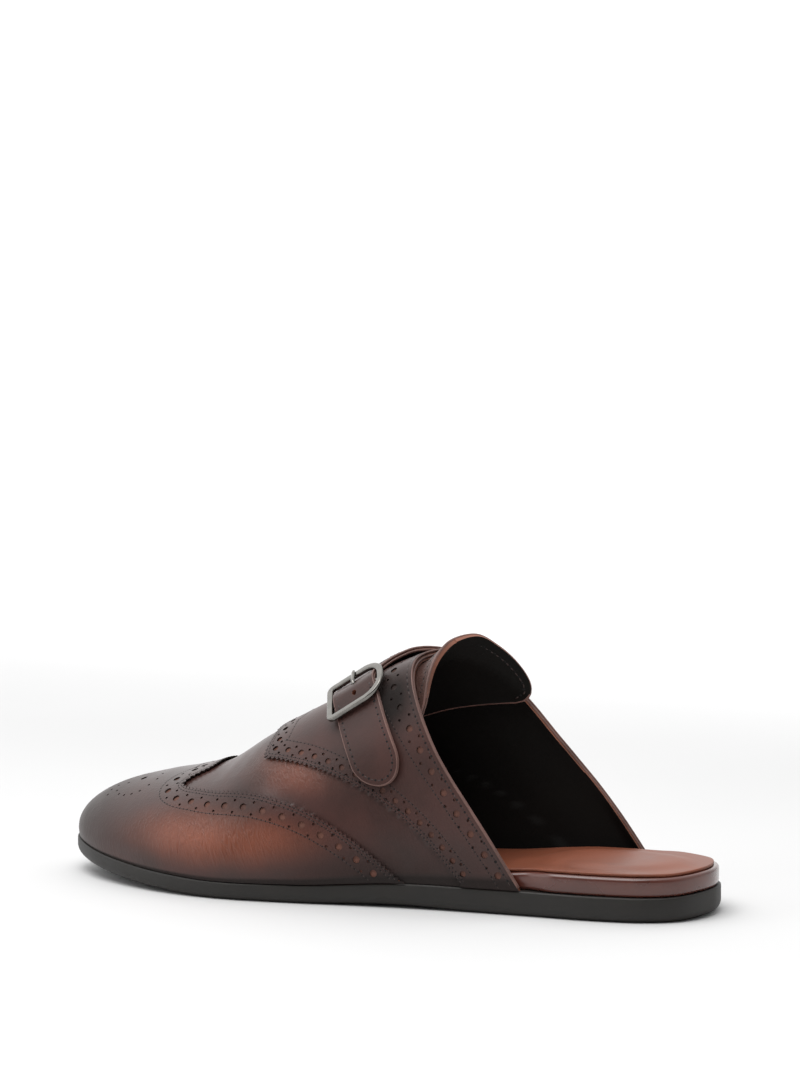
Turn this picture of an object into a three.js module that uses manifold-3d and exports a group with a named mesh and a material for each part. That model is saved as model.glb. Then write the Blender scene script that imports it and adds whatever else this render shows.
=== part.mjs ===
// A backless brogue slipper with a strap and buckle, for the left foot.
// Millimetres: +X towards the toe, +Y to the outer side of the foot, +Z up.
// The origin is on the floor, at the middle of the whole length and width.
import * as THREE from "three";
import { mergeVertices } from "three/addons/utils/BufferGeometryUtils.js";
import Module from "manifold-3d";

const wasm = await Module();
wasm.setup();

// Length, widths and height of the shoe on its last.
const SOLE_LENGTH = 300;
const BALL_WIDTH = 99;
const HEEL_WIDTH = 70;
const INSTEP_HEIGHT = 92.3;

// How far the last's own middle line lies from the middle of the whole width, towards the inner side.
const SIDE_SHIFT = 0.84;

// Outsole.
const HEEL_THICKNESS = 10.8;
const FOREFOOT_THICKNESS = 7.6;
const TOE_SPRING = 7.8;
const ARCH_LIFT = 1.2;
const TREAD_ROUNDING = 4;
const WELT_LIP = 2.4;

// Footbed and insole.
const FOOTBED_HEIGHT = 8;
const FOOTBED_LIP = 0.9;
const FOOTBED_ROUNDING = 1.8;
const INSOLE_THICKNESS = 1.2;
const INSOLE_MARGIN = 2.2;
const WALL_LEAD = 9;

// Leathers.
const UPPER_WALL = 2.2;
const OVERLAY_THICKNESS = 1.2;
const TONGUE_THICKNESS = 2.6;
const TONGUE_FLARE = 4.5;
const TONGUE_ROOT = 0.42;
const TONGUE_TAPER = 0.6;
const TONGUE_REACH = 8;

// Strap. Its tip, where it starts to round and its line along the upper are places on the upper's grid.
const STRAP_THICKNESS = 2.4;
const STRAP_WIDTH = 21;
const STRAP_ALONG = 0.262;
const STRAP_TIP = 0.7;
const STRAP_ROUND = 0.6;
const STRAP_ARCH = 1.8;
const STRAP_BOW = 2.4;

// Buckle.
const FRAME_LENGTH = 30;
const FRAME_WIDTH = 24;
const FRAME_BAR = 2.6;
const FRAME_DEPTH = 2;
const FRAME_CORNER = 8;
const FRONT_CORNER_SHARE = 0.5;
const FRAME_CLEARANCE = 2.3;
const BUCKLE_ACROSS = 0.22;
const PIN_DIAMETER = 1.8;
const PIN_DROP = 1.6;
const PRONG_DIAMETER = 1.9;
const PRONG_HOLE = { across: 2.6, diameter: 3.4 };

// Clearance between pieces that touch.
const GAP = 0.3;
const OVERLAY_GAP = 0.35;
const TONGUE_GAP = 0.5;

// Grids. Steps along crowd together towards the toe; the outer quarter ends at a step past the ridge.
const ALONG_STEPS = 30;
const ACROSS_STEPS = 15;
const TOE_CROWDING = 1.5;
const PLAN_STEPS = 30;
const TONGUE_STEPS = 14;
const STRAP_STEPS = { along: 6, across: 26 };
const PRONG_STEPS = 12;
const CIRCLE_SIDES = 10;
const SEAM_STEP = -3;
const TOPLINE_STEP = 0.003;
const SEAM_GAP = 0.004;
const NEAR = 0.001;
const SLOPE_STEP = 0.01;
const WELD = 1e-4;

// Plan of the outsole, from the heel round the outer side to the toe and back along the inner side.
// station is a share of the length; heel and ball are shares of the two widths, added together.
const OUTLINE = [
  { station: 0.0, heel: 0.0, ball: 0.0 },
  { station: 0.022, heel: 0.302, ball: 0.0 },
  { station: 0.07, heel: 0.446, ball: 0.0 },
  { station: 0.14, heel: 0.506, ball: 0.0 },
  { station: 0.25, heel: 0.43, ball: 0.061 },
  { station: 0.38, heel: 0.2, ball: 0.244 },
  { station: 0.5, heel: 0.0, ball: 0.43 },
  { station: 0.61, heel: 0.0, ball: 0.485 },
  { station: 0.7, heel: 0.0, ball: 0.505 },
  { station: 0.79, heel: 0.0, ball: 0.465 },
  { station: 0.87, heel: 0.0, ball: 0.37 },
  { station: 0.94, heel: 0.0, ball: 0.235 },
  { station: 0.985, heel: 0.0, ball: 0.08 },
  { station: 1.0, heel: 0.0, ball: -0.06 },
  { station: 0.985, heel: 0.0, ball: -0.2 },
  { station: 0.94, heel: 0.0, ball: -0.33 },
  { station: 0.87, heel: 0.0, ball: -0.42 },
  { station: 0.79, heel: 0.0, ball: -0.475 },
  { station: 0.71, heel: 0.0, ball: -0.49 },
  { station: 0.61, heel: 0.0, ball: -0.44 },
  { station: 0.5, heel: 0.0, ball: -0.345 },
  { station: 0.38, heel: -0.17, ball: -0.178 },
  { station: 0.25, heel: -0.37, ball: -0.056 },
  { station: 0.14, heel: -0.491, ball: 0.0 },
  { station: 0.07, heel: -0.438, ball: 0.0 },
  { station: 0.022, heel: -0.302, ball: 0.0 },
];

// Underside and top of the outsole along the length, as shares of arch lift, toe spring and thicknesses.
const SOLE_PROFILE = [
  { station: 0.0, arch: 0.0, spring: 0.12, heel: 1.0, forefoot: 0.0 },
  { station: 0.05, arch: 0.0, spring: 0.0, heel: 1.0, forefoot: 0.0 },
  { station: 0.3, arch: 0.0, spring: 0.0, heel: 1.0, forefoot: 0.0 },
  { station: 0.44, arch: 1.0, spring: 0.0, heel: 0.6, forefoot: 0.4 },
  { station: 0.58, arch: 0.0, spring: 0.0, heel: 0.2, forefoot: 0.8 },
  { station: 0.7, arch: 0.0, spring: 0.0, heel: 0.0, forefoot: 1.0 },
  { station: 0.8, arch: 0.0, spring: 0.18, heel: 0.0, forefoot: 1.0 },
  { station: 0.9, arch: 0.0, spring: 0.5, heel: 0.0, forefoot: 1.0 },
  { station: 1.0, arch: 0.0, spring: 1.0, heel: 0.0, forefoot: 1.0 },
];

// How far the outsole's lip stands out past the upper, and how high the footbed stands on the outsole.
const FIT_PROFILE = [
  { station: 0.0, lip: 0.3, footbed: 1.0 },
  { station: 0.2, lip: 0.3, footbed: 1.0 },
  { station: 0.34, lip: 0.3, footbed: 0.6 },
  { station: 0.5, lip: 0.3, footbed: 0.35 },
  { station: 0.75, lip: 0.8, footbed: 0.32 },
  { station: 1.0, lip: 1.0, footbed: 0.32 },
];

// Sections of the upper's outer surface. along is 0 at the topline and 1 where the toe closes.
// outer, inner: where the section meets the sole, as shares of the way from heel to toe round each side.
// ridge: station of its highest point; height: share of the instep height; offset: share of the ball width.
// rise, crown: how far the sides stand up and the top reaches out.
// outerLean, innerLean: 1 where that side follows the section's own slope, 0 where it stands upright.
// bulge: how far the sides swell, as a share of the ball width.
const SECTIONS = [
  {
    along: -0.16, outer: 0.2, inner: 0.095, ridge: 0.37, height: 1.11, offset: -0.02,
    rise: 0.76, crown: 0.62, outerLean: 1.1, innerLean: 0.72, bulge: 0.02,
  },
  {
    along: 0, outer: 0.276, inner: 0.172, ridge: 0.437, height: 1.012, offset: 0.03,
    rise: 0.76, crown: 0.64, outerLean: 1.12, innerLean: 0.71, bulge: 0.02,
  },
  {
    along: 0.15, outer: 0.338, inner: 0.262, ridge: 0.488, height: 0.946, offset: 0.03,
    rise: 0.72, crown: 0.64, outerLean: 1.02, innerLean: 0.76, bulge: 0.022,
  },
  {
    along: 0.3, outer: 0.412, inner: 0.355, ridge: 0.543, height: 0.848, offset: 0.03,
    rise: 0.68, crown: 0.64, outerLean: 0.88, innerLean: 0.74, bulge: 0.026,
  },
  {
    along: 0.45, outer: 0.49, inner: 0.455, ridge: 0.607, height: 0.745, offset: 0.03,
    rise: 0.62, crown: 0.64, outerLean: 0.7, innerLean: 0.66, bulge: 0.032,
  },
  {
    along: 0.58, outer: 0.584, inner: 0.569, ridge: 0.677, height: 0.628, offset: 0.025,
    rise: 0.56, crown: 0.64, outerLean: 0.5, innerLean: 0.5, bulge: 0.04,
  },
  {
    along: 0.7, outer: 0.68, inner: 0.676, ridge: 0.745, height: 0.487, offset: 0.01,
    rise: 0.52, crown: 0.66, outerLean: 0.3, innerLean: 0.3, bulge: 0.044,
  },
  {
    along: 0.8, outer: 0.764, inner: 0.767, ridge: 0.8, height: 0.42, offset: -0.01,
    rise: 0.5, crown: 0.7, outerLean: 0.12, innerLean: 0.12, bulge: 0.044,
  },
  {
    along: 0.88, outer: 0.842, inner: 0.845, ridge: 0.838, height: 0.386, offset: -0.025,
    rise: 0.47, crown: 0.7, outerLean: 0, innerLean: 0, bulge: 0.042,
  },
  {
    along: 0.94, outer: 0.918, inner: 0.92, ridge: 0.862, height: 0.36, offset: -0.035,
    rise: 0.45, crown: 0.67, outerLean: 0, innerLean: 0, bulge: 0.04,
  },
  {
    along: 1, outer: 1, inner: 1, ridge: 0.878, height: 0.342, offset: -0.04,
    rise: 0.43, crown: 0.65, outerLean: 0, innerLean: 0, bulge: 0.038,
  },
];

// Monotone cubic through one column of a table.
function curveOf(rows, key, name) {
  const x = rows.map((row) => row[key]);
  const y = rows.map((row) => row[name]);
  const slope = x.slice(1).map((_, i) => (y[i + 1] - y[i]) / (x[i + 1] - x[i]));
  const tangent = x.map((_, i) => {
    if (i === 0) return slope[0];
    if (i === x.length - 1) return slope[i - 1];
    if (slope[i - 1] * slope[i] <= 0) return 0;
    const before = x[i] - x[i - 1];
    const after = x[i + 1] - x[i];
    const a = 2 * after + before;
    const b = after + 2 * before;
    return (a + b) / (a / slope[i - 1] + b / slope[i]);
  });
  return (at) => {
    let i = 0;
    while (i < x.length - 2 && at > x[i + 1]) i += 1;
    const span = x[i + 1] - x[i];
    const t = Math.min(Math.max((at - x[i]) / span, 0), 1);
    const t2 = t * t;
    const t3 = t2 * t;
    const start = (2 * t3 - 3 * t2 + 1) * y[i] + (t3 - 2 * t2 + t) * span * tangent[i];
    return start + (3 * t2 - 2 * t3) * y[i + 1] + (t3 - t2) * span * tangent[i + 1];
  };
}

function curvesOf(rows, key) {
  const names = Object.keys(rows[0]).filter((name) => name !== key);
  return Object.fromEntries(names.map((name) => [name, curveOf(rows, key, name)]));
}

const soleCurves = curvesOf(SOLE_PROFILE, "station");
const fitCurves = curvesOf(FIT_PROFILE, "station");
const upperCurves = curvesOf(SECTIONS, "along");

const stationOf = (x) => x / SOLE_LENGTH + 0.5;
const xOf = (station) => (station - 0.5) * SOLE_LENGTH;

function soleBottom(x) {
  const u = stationOf(x);
  return soleCurves.arch(u) * ARCH_LIFT + soleCurves.spring(u) * TOE_SPRING;
}

function soleTop(x) {
  const u = stationOf(x);
  const thickness = soleCurves.heel(u) * HEEL_THICKNESS + soleCurves.forefoot(u) * FOREFOOT_THICKNESS;
  return soleBottom(x) + thickness;
}

const footbedHeight = (x) => fitCurves.footbed(stationOf(x)) * FOOTBED_HEIGHT;
const lipAt = (x) => fitCurves.lip(stationOf(x)) * WELT_LIP;

// The outsole's plan as a dense closed polygon.
const planCurve = new THREE.CatmullRomCurve3(
  OUTLINE.map((row) => new THREE.Vector3(xOf(row.station), row.heel * HEEL_WIDTH + row.ball * BALL_WIDTH, 0)),
  true,
  "centripetal",
);
const POINTS_PER_ROW = 24;
const planPoints = planCurve.getPoints(OUTLINE.length * POINTS_PER_ROW).slice(0, -1);

// The plan moved inwards; inset is a function of x and y. Returns its two sides, each from heel to toe.
function planSides(inset) {
  const count = planPoints.length;
  const moved = planPoints.map((point, i) => {
    const before = planPoints[(i + count - 1) % count];
    const after = planPoints[(i + 1) % count];
    const along = after.clone().sub(before).normalize();
    const inward = new THREE.Vector3(along.y, -along.x, 0);
    return point.clone().addScaledVector(inward, inset(point.x, point.y));
  });
  const xs = moved.map((point) => point.x);
  const back = xs.indexOf(Math.min(...xs));
  const front = xs.indexOf(Math.max(...xs));
  const walk = (from, to, step) => {
    const points = [];
    for (let i = from; i !== to; i = (i + step + count) % count) points.push(moved[i]);
    points.push(moved[to]);
    return points;
  };
  return { outer: walk(back, front, 1), inner: walk(back, front, -1) };
}

// Width of one side at x, by linear interpolation.
function widthAt(side, x) {
  let i = 0;
  while (i < side.length - 2 && x > side[i + 1].x) i += 1;
  const span = side[i + 1].x - side[i].x || 1;
  const t = Math.min(Math.max((x - side[i].x) / span, 0), 1);
  return side[i].y + (side[i + 1].y - side[i].y) * t;
}

// A closed ring of a layer: pairs of points at stations that crowd together at heel and toe.
function ringAt(inset, heightAt) {
  const sides = planSides(inset);
  const from = sides.outer[0];
  const to = sides.outer[sides.outer.length - 1];
  const xs = Array.from({ length: PLAN_STEPS + 1 }, (_, i) => {
    const share = (1 - Math.cos((Math.PI * i) / PLAN_STEPS)) / 2;
    return from.x + (to.x - from.x) * share;
  });
  const point = (x, y) => new THREE.Vector3(x, y, heightAt(x, y));
  const ring = [point(from.x, from.y)];
  for (let i = 1; i < PLAN_STEPS; i += 1) ring.push(point(xs[i], widthAt(sides.outer, xs[i])));
  ring.push(point(to.x, to.y));
  for (let i = PLAN_STEPS - 1; i > 0; i -= 1) ring.push(point(xs[i], widthAt(sides.inner, xs[i])));
  return ring;
}

// A triangle mesh from points and faces, as an indexed geometry with shared vertices.
function geometryOf(points, faces) {
  const geometry = new THREE.BufferGeometry();
  const values = points.flatMap((point) => [point.x, point.y, point.z]);
  geometry.setAttribute("position", new THREE.Float32BufferAttribute(values, 3));
  geometry.setIndex(faces.flat());
  return mergeVertices(geometry, WELD);
}

// A solid layer from rings, lowest first, closed by strips across its bottom and top.
function layerGeometry(rings) {
  const count = rings[0].length;
  const faces = [];
  for (let r = 0; r < rings.length - 1; r += 1) {
    for (let i = 0; i < count; i += 1) {
      const a = r * count + i;
      const b = r * count + ((i + 1) % count);
      faces.push([a, a + count, b], [b, a + count, b + count]);
    }
  }
  const cap = (base, up) => {
    for (let i = 0; i < PLAN_STEPS; i += 1) {
      const outer = [base + i, base + i + 1];
      const inner = [base + ((count - i) % count), base + count - i - 1];
      const pair = [[outer[0], outer[1], inner[1]], [outer[0], inner[1], inner[0]]];
      const real = pair.filter((f) => new Set(f).size === 3);
      faces.push(...real.map((f) => (up ? [f[0], f[2], f[1]] : f)));
    }
  };
  cap(0, false);
  cap((rings.length - 1) * count, true);
  return geometryOf(rings.flat(), faces);
}

// Upper's feather line: where its outer surface stands on the outsole.
const featherSides = planSides(lipAt);
function featherLength(side) {
  const lengths = [0];
  for (let i = 1; i < side.length; i += 1) lengths.push(lengths[i - 1] + side[i].distanceTo(side[i - 1]));
  return lengths;
}
const featherLengths = {
  outer: featherLength(featherSides.outer),
  inner: featherLength(featherSides.inner),
};

function featherPoint(name, share) {
  const side = featherSides[name];
  const lengths = featherLengths[name];
  const want = share * lengths[lengths.length - 1];
  let i = 0;
  while (i < side.length - 2 && want > lengths[i + 1]) i += 1;
  const t = (want - lengths[i]) / (lengths[i + 1] - lengths[i]);
  const point = side[i].clone().lerp(side[i + 1], t);
  const along = side[i + 1].clone().sub(side[i]).normalize();
  const turn = name === "outer" ? 1 : -1;
  const outward = new THREE.Vector3(-turn * along.y, turn * along.x, 0);
  return { point, outward: share < 1 ? outward : new THREE.Vector3(1, 0, 0) };
}

function ridgePoint(along) {
  const x = xOf(upperCurves.ridge(along));
  const z = soleTop(x) + upperCurves.height(along) * INSTEP_HEIGHT;
  return new THREE.Vector3(x, upperCurves.offset(along) * BALL_WIDTH, z);
}

// Outer surface of the upper. across runs from -1 at the inner side's foot over 0 at the ridge to 1.
function upperPoint(along, across) {
  const name = across >= 0 ? "outer" : "inner";
  const { point: foot, outward } = featherPoint(name, upperCurves[name](along));
  foot.z = soleTop(foot.x) + GAP;
  const ridge = ridgePoint(along);
  const next = Math.min(along + SLOPE_STEP, 1);
  const ahead = ridgePoint(next).sub(ridgePoint(next - 2 * SLOPE_STEP));
  const lean = upperCurves[`${name}Lean`](along);
  const rise = upperCurves.rise(along);
  const crown = upperCurves.crown(along);
  const side = foot.clone();
  side.x += rise * lean * (ridge.x - foot.x);
  side.z += rise * (ridge.z - foot.z);
  side.addScaledVector(outward, upperCurves.bulge(along) * BALL_WIDTH);
  const forward = crown * (1 - lean) * (foot.x - ridge.x);
  const top = ridge.clone().addScaledVector(ahead, forward / ahead.x);
  top.y = ridge.y + (forward / ahead.x) * ahead.y + crown * (foot.y - ridge.y);
  const curve = new THREE.CubicBezierCurve3(foot, side, top, ridge);
  return curve.getPoint(1 - Math.abs(across));
}

function upperNormal(along, across) {
  const step = 4 * NEAR;
  const rear = Math.max(along - step, SECTIONS[0].along);
  const front = Math.min(along + step, 1);
  const left = Math.max(across - step, -1);
  const right = Math.min(across + step, 1);
  const forward = upperPoint(front, across).sub(upperPoint(rear, across));
  const sideways = upperPoint(along, right).sub(upperPoint(along, left));
  return forward.cross(sideways).normalize();
}

// Normal of the surface: on the ridge, and where the toe folds, the mean of both sides.
function smoothNormal(along, across) {
  const side = Math.abs(across) < NEAR ? NEAR : across;
  if (along > 1 - NEAR) {
    return upperNormal(1 - NEAR, side).add(upperNormal(1 - NEAR, -side)).normalize();
  }
  if (side !== across) return upperNormal(along, NEAR).add(upperNormal(along, -NEAR)).normalize();
  return upperNormal(along, across);
}

// A point off the surface, never lower than the outsole's top.
function lifted(along, across, lift) {
  const point = upperPoint(along, across).addScaledVector(smoothNormal(along, across), lift);
  point.z = Math.max(point.z, soleTop(point.x) + GAP);
  return point;
}

// A closed sheet of leather on the upper's surface. places is a grid of { along, across }, and the
// lifts give how far its two faces stand off the surface. Edges that meet, as at the toe, are joined.
function sheetGeometry(places, outerLift, innerLift) {
  const faceOf = (lift) => places.map((row) => row.map((at) => lifted(at.along, at.across, lift(at))));
  const outer = faceOf(outerLift);
  const inner = faceOf(innerLift);
  const points = [];
  const twins = [];
  const found = new Map();
  const index = outer.map((row, i) =>
    row.map((point, j) => {
      const key = [point.x, point.y, point.z].map((value) => value.toFixed(3)).join(",");
      if (!found.has(key)) {
        found.set(key, points.length);
        points.push(point);
        twins.push(inner[i][j]);
      }
      return found.get(key);
    }),
  );
  const faces = [];
  for (let i = 0; i < index.length - 1; i += 1) {
    for (let j = 0; j < index[i].length - 1; j += 1) {
      const [a, b, c, d] = [index[i][j], index[i + 1][j], index[i + 1][j + 1], index[i][j + 1]];
      faces.push(...[[a, b, c], [a, c, d]].filter((face) => new Set(face).size === 3));
    }
  }
  const count = points.length;
  const edges = new Set(faces.flatMap(([a, b, c]) => [`${a},${b}`, `${b},${c}`, `${c},${a}`]));
  const rims = [];
  for (const edge of edges) {
    const [a, b] = edge.split(",").map(Number);
    if (!edges.has(`${b},${a}`)) rims.push([b, a, a + count], [b, a + count, b + count]);
  }
  const back = faces.map(([a, b, c]) => [a + count, c + count, b + count]);
  return geometryOf([...points, ...twins], [...faces, ...back, ...rims]);
}

// A share of the way along the grid to along, closer together towards the toe, and back.
const crowd = (share) => 1 - (1 - share) ** TOE_CROWDING;
const uncrowd = (along) => 1 - (1 - along) ** (1 / TOE_CROWDING);

function steps(from, to, count) {
  return Array.from({ length: count + 1 }, (_, i) => from + ((to - from) * i) / count);
}
const acrossSteps = (from, to) => steps(from, to, to - from).map((step) => step / ACROSS_STEPS);

// Places on the upper's own grid lines, cut off at two edges, each a function of across.
function placesWithin(across, rear, front) {
  return steps(0, 1, ALONG_STEPS).map((share) =>
    across.map((at) => ({ along: Math.min(Math.max(crowd(share), rear(at)), front(at)), across: at })),
  );
}

// A grid of places between two edges, each a function of across.
function placesBetween(across, rear, front, count) {
  return steps(0, 1, count).map((share) =>
    across.map((at) => {
      const start = uncrowd(rear(at));
      return { along: crowd(start + (uncrowd(front(at)) - start) * share), across: at };
    }),
  );
}

// Edges of the pieces that lie on the upper. across is as in the sections, along is where the edge is.
const WING_EDGE = [
  { across: 0.0, along: 0.712 },
  { across: 0.15, along: 0.73 },
  { across: 0.25, along: 0.768 },
  { across: 0.31, along: 0.778 },
  { across: 0.37, along: 0.739 },
  { across: 0.485, along: 0.657 },
  { across: 0.65, along: 0.538 },
  { across: 0.795, along: 0.454 },
  { across: 1.0, along: 0.33 },
];
const QUARTER_EDGE = [
  { across: 0.0, along: 0.52 },
  { across: 0.08, along: 0.55 },
  { across: 0.18, along: 0.566 },
  { across: 0.34, along: 0.588 },
  { across: 0.42, along: 0.545 },
  { across: 0.483, along: 0.504 },
  { across: 0.581, along: 0.438 },
  { across: 0.757, along: 0.302 },
  { across: 0.824, along: 0.257 },
  { across: 0.908, along: 0.214 },
  { across: 1.0, along: 0.182 },
];
const TONGUE_END = [
  { across: -0.56, along: 0.0 },
  { across: -0.5, along: -0.03 },
  { across: -0.4, along: -0.056 },
  { across: -0.25, along: -0.08 },
  { across: -0.1, along: -0.1 },
  { across: 0.05, along: -0.095 },
  { across: 0.2, along: -0.07 },
  { across: 0.36, along: -0.035 },
  { across: 0.48, along: 0.01 },
  { across: 0.56, along: 0.06 },
];

// How far the strap reaches to its rear and front from its middle line, as shares of its width.
// arch is the share of its rise over the instep.
const STRAP_PATH = [
  { across: -0.27, rear: 1.5, front: 0.55, arch: 0.0 },
  { across: -0.16, rear: 1.3, front: 0.52, arch: 0.8 },
  { across: -0.08, rear: 1.1, front: 0.5, arch: 1.0 },
  { across: -0.02, rear: 0.85, front: 0.5, arch: 0.6 },
  { across: 0.05, rear: 0.52, front: 0.5, arch: 0.0 },
  { across: 0.12, rear: 0.5, front: 0.5, arch: 0.0 },
  { across: 0.7, rear: 0.5, front: 0.5, arch: 0.0 },
];
// The strap bows up over the buckle's pin. past is how far across from the pin.
const PIN_BOW = [
  { past: -0.16, bow: 0.0 },
  { past: -0.095, bow: 0.3 },
  { past: -0.05, bow: 0.75 },
  { past: 0.0, bow: 1.0 },
  { past: 0.045, bow: 0.75 },
  { past: 0.09, bow: 0.3 },
  { past: 0.15, bow: 0.0 },
];
// Columns of the strap's round tip, as shares of the way from where it starts to round.
const TIP_COLUMNS = [0.3, 0.55, 0.75, 0.9, 0.98];

const wingEdge = curveOf(WING_EDGE, "across", "along");
const quarterEdge = curveOf(QUARTER_EDGE, "across", "along");
const tongueEnd = curveOf(TONGUE_END, "across", "along");
const strapCurves = curvesOf(STRAP_PATH, "across");
const pinBow = curveOf(PIN_BOW, "past", "bow");

const overlayInner = () => OVERLAY_GAP;
const overlayOuter = () => OVERLAY_GAP + OVERLAY_THICKNESS;

function upperGeometry() {
  const across = acrossSteps(-ACROSS_STEPS, ACROSS_STEPS);
  const places = placesWithin(across, () => 0, () => 1);
  return sheetGeometry(places, () => 0, () => -UPPER_WALL);
}

function wingCapGeometry() {
  const across = acrossSteps(-ACROSS_STEPS, ACROSS_STEPS);
  const places = placesWithin(across, (at) => wingEdge(Math.abs(at)), () => 1);
  return sheetGeometry(places, overlayOuter, overlayInner);
}

// The two quarters meet at the seam step, past the ridge on the inner side.
function quarterGeometry(from, to) {
  const across = acrossSteps(from, to);
  if (from === SEAM_STEP) across[0] += SEAM_GAP;
  if (to === SEAM_STEP) across[across.length - 1] -= SEAM_GAP;
  const places = placesWithin(across, () => TOPLINE_STEP, (at) => quarterEdge(Math.abs(at)));
  return sheetGeometry(places, overlayOuter, overlayInner);
}

// The tongue lies inside the upper and flares up past the topline.
function tongueGeometry() {
  const reach = -tongueEnd(0);
  const flare = ({ along }) => TONGUE_FLARE * Math.max(0, (TOPLINE_STEP - along) / reach) ** 1.5;
  const top = (at) => flare(at) - UPPER_WALL - TONGUE_GAP;
  const under = (at) => top(at) - TONGUE_THICKNESS;
  const columns = acrossSteps(-TONGUE_REACH, TONGUE_REACH);
  const straight = placesBetween(columns, tongueEnd, () => TONGUE_ROOT, TONGUE_STEPS);
  const taper = ({ along }) => 1 - TONGUE_TAPER * Math.max(0, along);
  const places = straight.map((row) => row.map((at) => ({ along: at.along, across: at.across * taper(at) })));
  return sheetGeometry(places, top, under);
}

// Millimetres per unit of along, on the surface at a place.
function alongScale(along, across) {
  const [rear, front] = [-SLOPE_STEP, SLOPE_STEP].map((step) => upperPoint(along + step, across));
  return front.distanceTo(rear) / (2 * SLOPE_STEP);
}

function strapEdge(across, name) {
  const turn = name === "rear" ? -1 : 1;
  const past = Math.max(0, across - STRAP_ROUND) / (STRAP_TIP - STRAP_ROUND);
  const taper = Math.sqrt(Math.max(0, 1 - past * past));
  const reach = strapCurves[name](across) * STRAP_WIDTH * taper;
  return STRAP_ALONG + (turn * reach) / alongScale(STRAP_ALONG, across);
}

const strapRest = GAP + OVERLAY_GAP + OVERLAY_THICKNESS;
const strapArch = (across) => strapCurves.arch(across) * STRAP_ARCH;
const strapBow = (across) => pinBow(across - BUCKLE_ACROSS) * STRAP_BOW;
const strapUnder = ({ across }) => strapRest + strapArch(across) + strapBow(across);
const strapTop = (at) => strapUnder(at) + STRAP_THICKNESS;

function strapGeometry() {
  const start = (SEAM_STEP - 1) / ACROSS_STEPS;
  const body = steps(start, STRAP_ROUND, STRAP_STEPS.across);
  const tip = TIP_COLUMNS.map((share) => STRAP_ROUND + share * (STRAP_TIP - STRAP_ROUND));
  const rear = (at) => strapEdge(at, "rear");
  const front = (at) => strapEdge(at, "front");
  const places = placesBetween([...body, ...tip], rear, front, STRAP_STEPS.along);
  return sheetGeometry(places, strapTop, strapUnder);
}

// Joins and cuts of closed geometries.
function solidOf(geometry) {
  const plain = new THREE.BufferGeometry();
  const source = geometry.index ? geometry.toNonIndexed() : geometry;
  plain.setAttribute("position", source.getAttribute("position").clone());
  const merged = mergeVertices(plain, WELD);
  const mesh = new wasm.Mesh({
    numProp: 3,
    vertProperties: new Float32Array(merged.getAttribute("position").array),
    triVerts: new Uint32Array(merged.index.array),
  });
  return new wasm.Manifold(mesh);
}

function geometryOfSolid(solid) {
  const mesh = solid.getMesh();
  const geometry = new THREE.BufferGeometry();
  geometry.setAttribute("position", new THREE.Float32BufferAttribute(mesh.vertProperties, 3));
  geometry.setIndex([...mesh.triVerts]);
  return geometry;
}

// Where the buckle sits: its x runs forward along the shoe, its y across the strap to the outer side.
function buckleBasis() {
  const [along, across] = [STRAP_ALONG, BUCKLE_ACROSS];
  const [rear, front] = [-SLOPE_STEP, SLOPE_STEP].map((step) => upperPoint(along + step, across));
  const forward = front.sub(rear).normalize();
  const sideStep = upperPoint(along, across + SLOPE_STEP).distanceTo(upperPoint(along, across));
  const reach = ((FRAME_WIDTH - FRAME_BAR) / 2) * (SLOPE_STEP / sideStep);
  const barLift = strapRest + STRAP_THICKNESS + FRAME_CLEARANCE + FRAME_DEPTH / 2;
  const bars = [-reach, reach].map((step) => lifted(along, across + step, barLift));
  const middle = bars[0].clone().lerp(bars[1], 0.5);
  const chord = bars[1].clone().sub(bars[0]).normalize();
  const up = new THREE.Vector3().crossVectors(forward, chord).normalize();
  const sideways = new THREE.Vector3().crossVectors(up, forward).normalize();
  return new THREE.Matrix4().makeBasis(forward, sideways, up).setPosition(middle);
}

// The frame's outline moved inwards: wide corners at the rear, tighter ones at the front.
function roundedOutline(target, inset) {
  const x = FRAME_LENGTH / 2 - inset;
  const y = FRAME_WIDTH / 2 - inset;
  const rear = FRAME_CORNER - inset;
  const front = FRAME_CORNER * FRONT_CORNER_SHARE - inset;
  target.moveTo(-x, -y + rear);
  target.absarc(-x + rear, -y + rear, rear, Math.PI, 1.5 * Math.PI, false);
  target.absarc(x - front, -y + front, front, 1.5 * Math.PI, 2 * Math.PI, false);
  target.absarc(x - front, y - front, front, 0, 0.5 * Math.PI, false);
  target.absarc(-x + rear, y - rear, rear, 0.5 * Math.PI, Math.PI, false);
  target.closePath();
  return target;
}

function frameGeometry() {
  const shape = roundedOutline(new THREE.Shape(), 0);
  shape.holes.push(roundedOutline(new THREE.Path(), FRAME_BAR));
  const ring = new THREE.ExtrudeGeometry(shape, {
    depth: FRAME_DEPTH,
    curveSegments: CIRCLE_SIDES / 2,
    bevelEnabled: false,
  });
  ring.translate(0, 0, -FRAME_DEPTH / 2);
  const radius = PIN_DIAMETER / 2;
  const pin = new THREE.CylinderGeometry(radius, radius, FRAME_LENGTH - FRAME_BAR, CIRCLE_SIDES);
  pin.rotateZ(Math.PI / 2);
  pin.translate(0, 0, -PIN_DROP);
  return geometryOfSolid(solidOf(ring).add(solidOf(pin)));
}

// The prong: up from the pin through the strap's hole, over the leather and the far bar.
// across is the distance from the pin towards the far bar and up is above the frame's middle plane.
const PRONG_PATH = [
  { across: 2.4, up: -1.0 },
  { across: 2.5, up: 1.2 },
  { across: 3.4, up: 3.5 },
  { across: 5.2, up: 3.6 },
  { across: 8.0, up: 2.9 },
  { across: 10.7, up: 2.4 },
  { across: 12.8, up: 2.1 },
];

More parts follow.
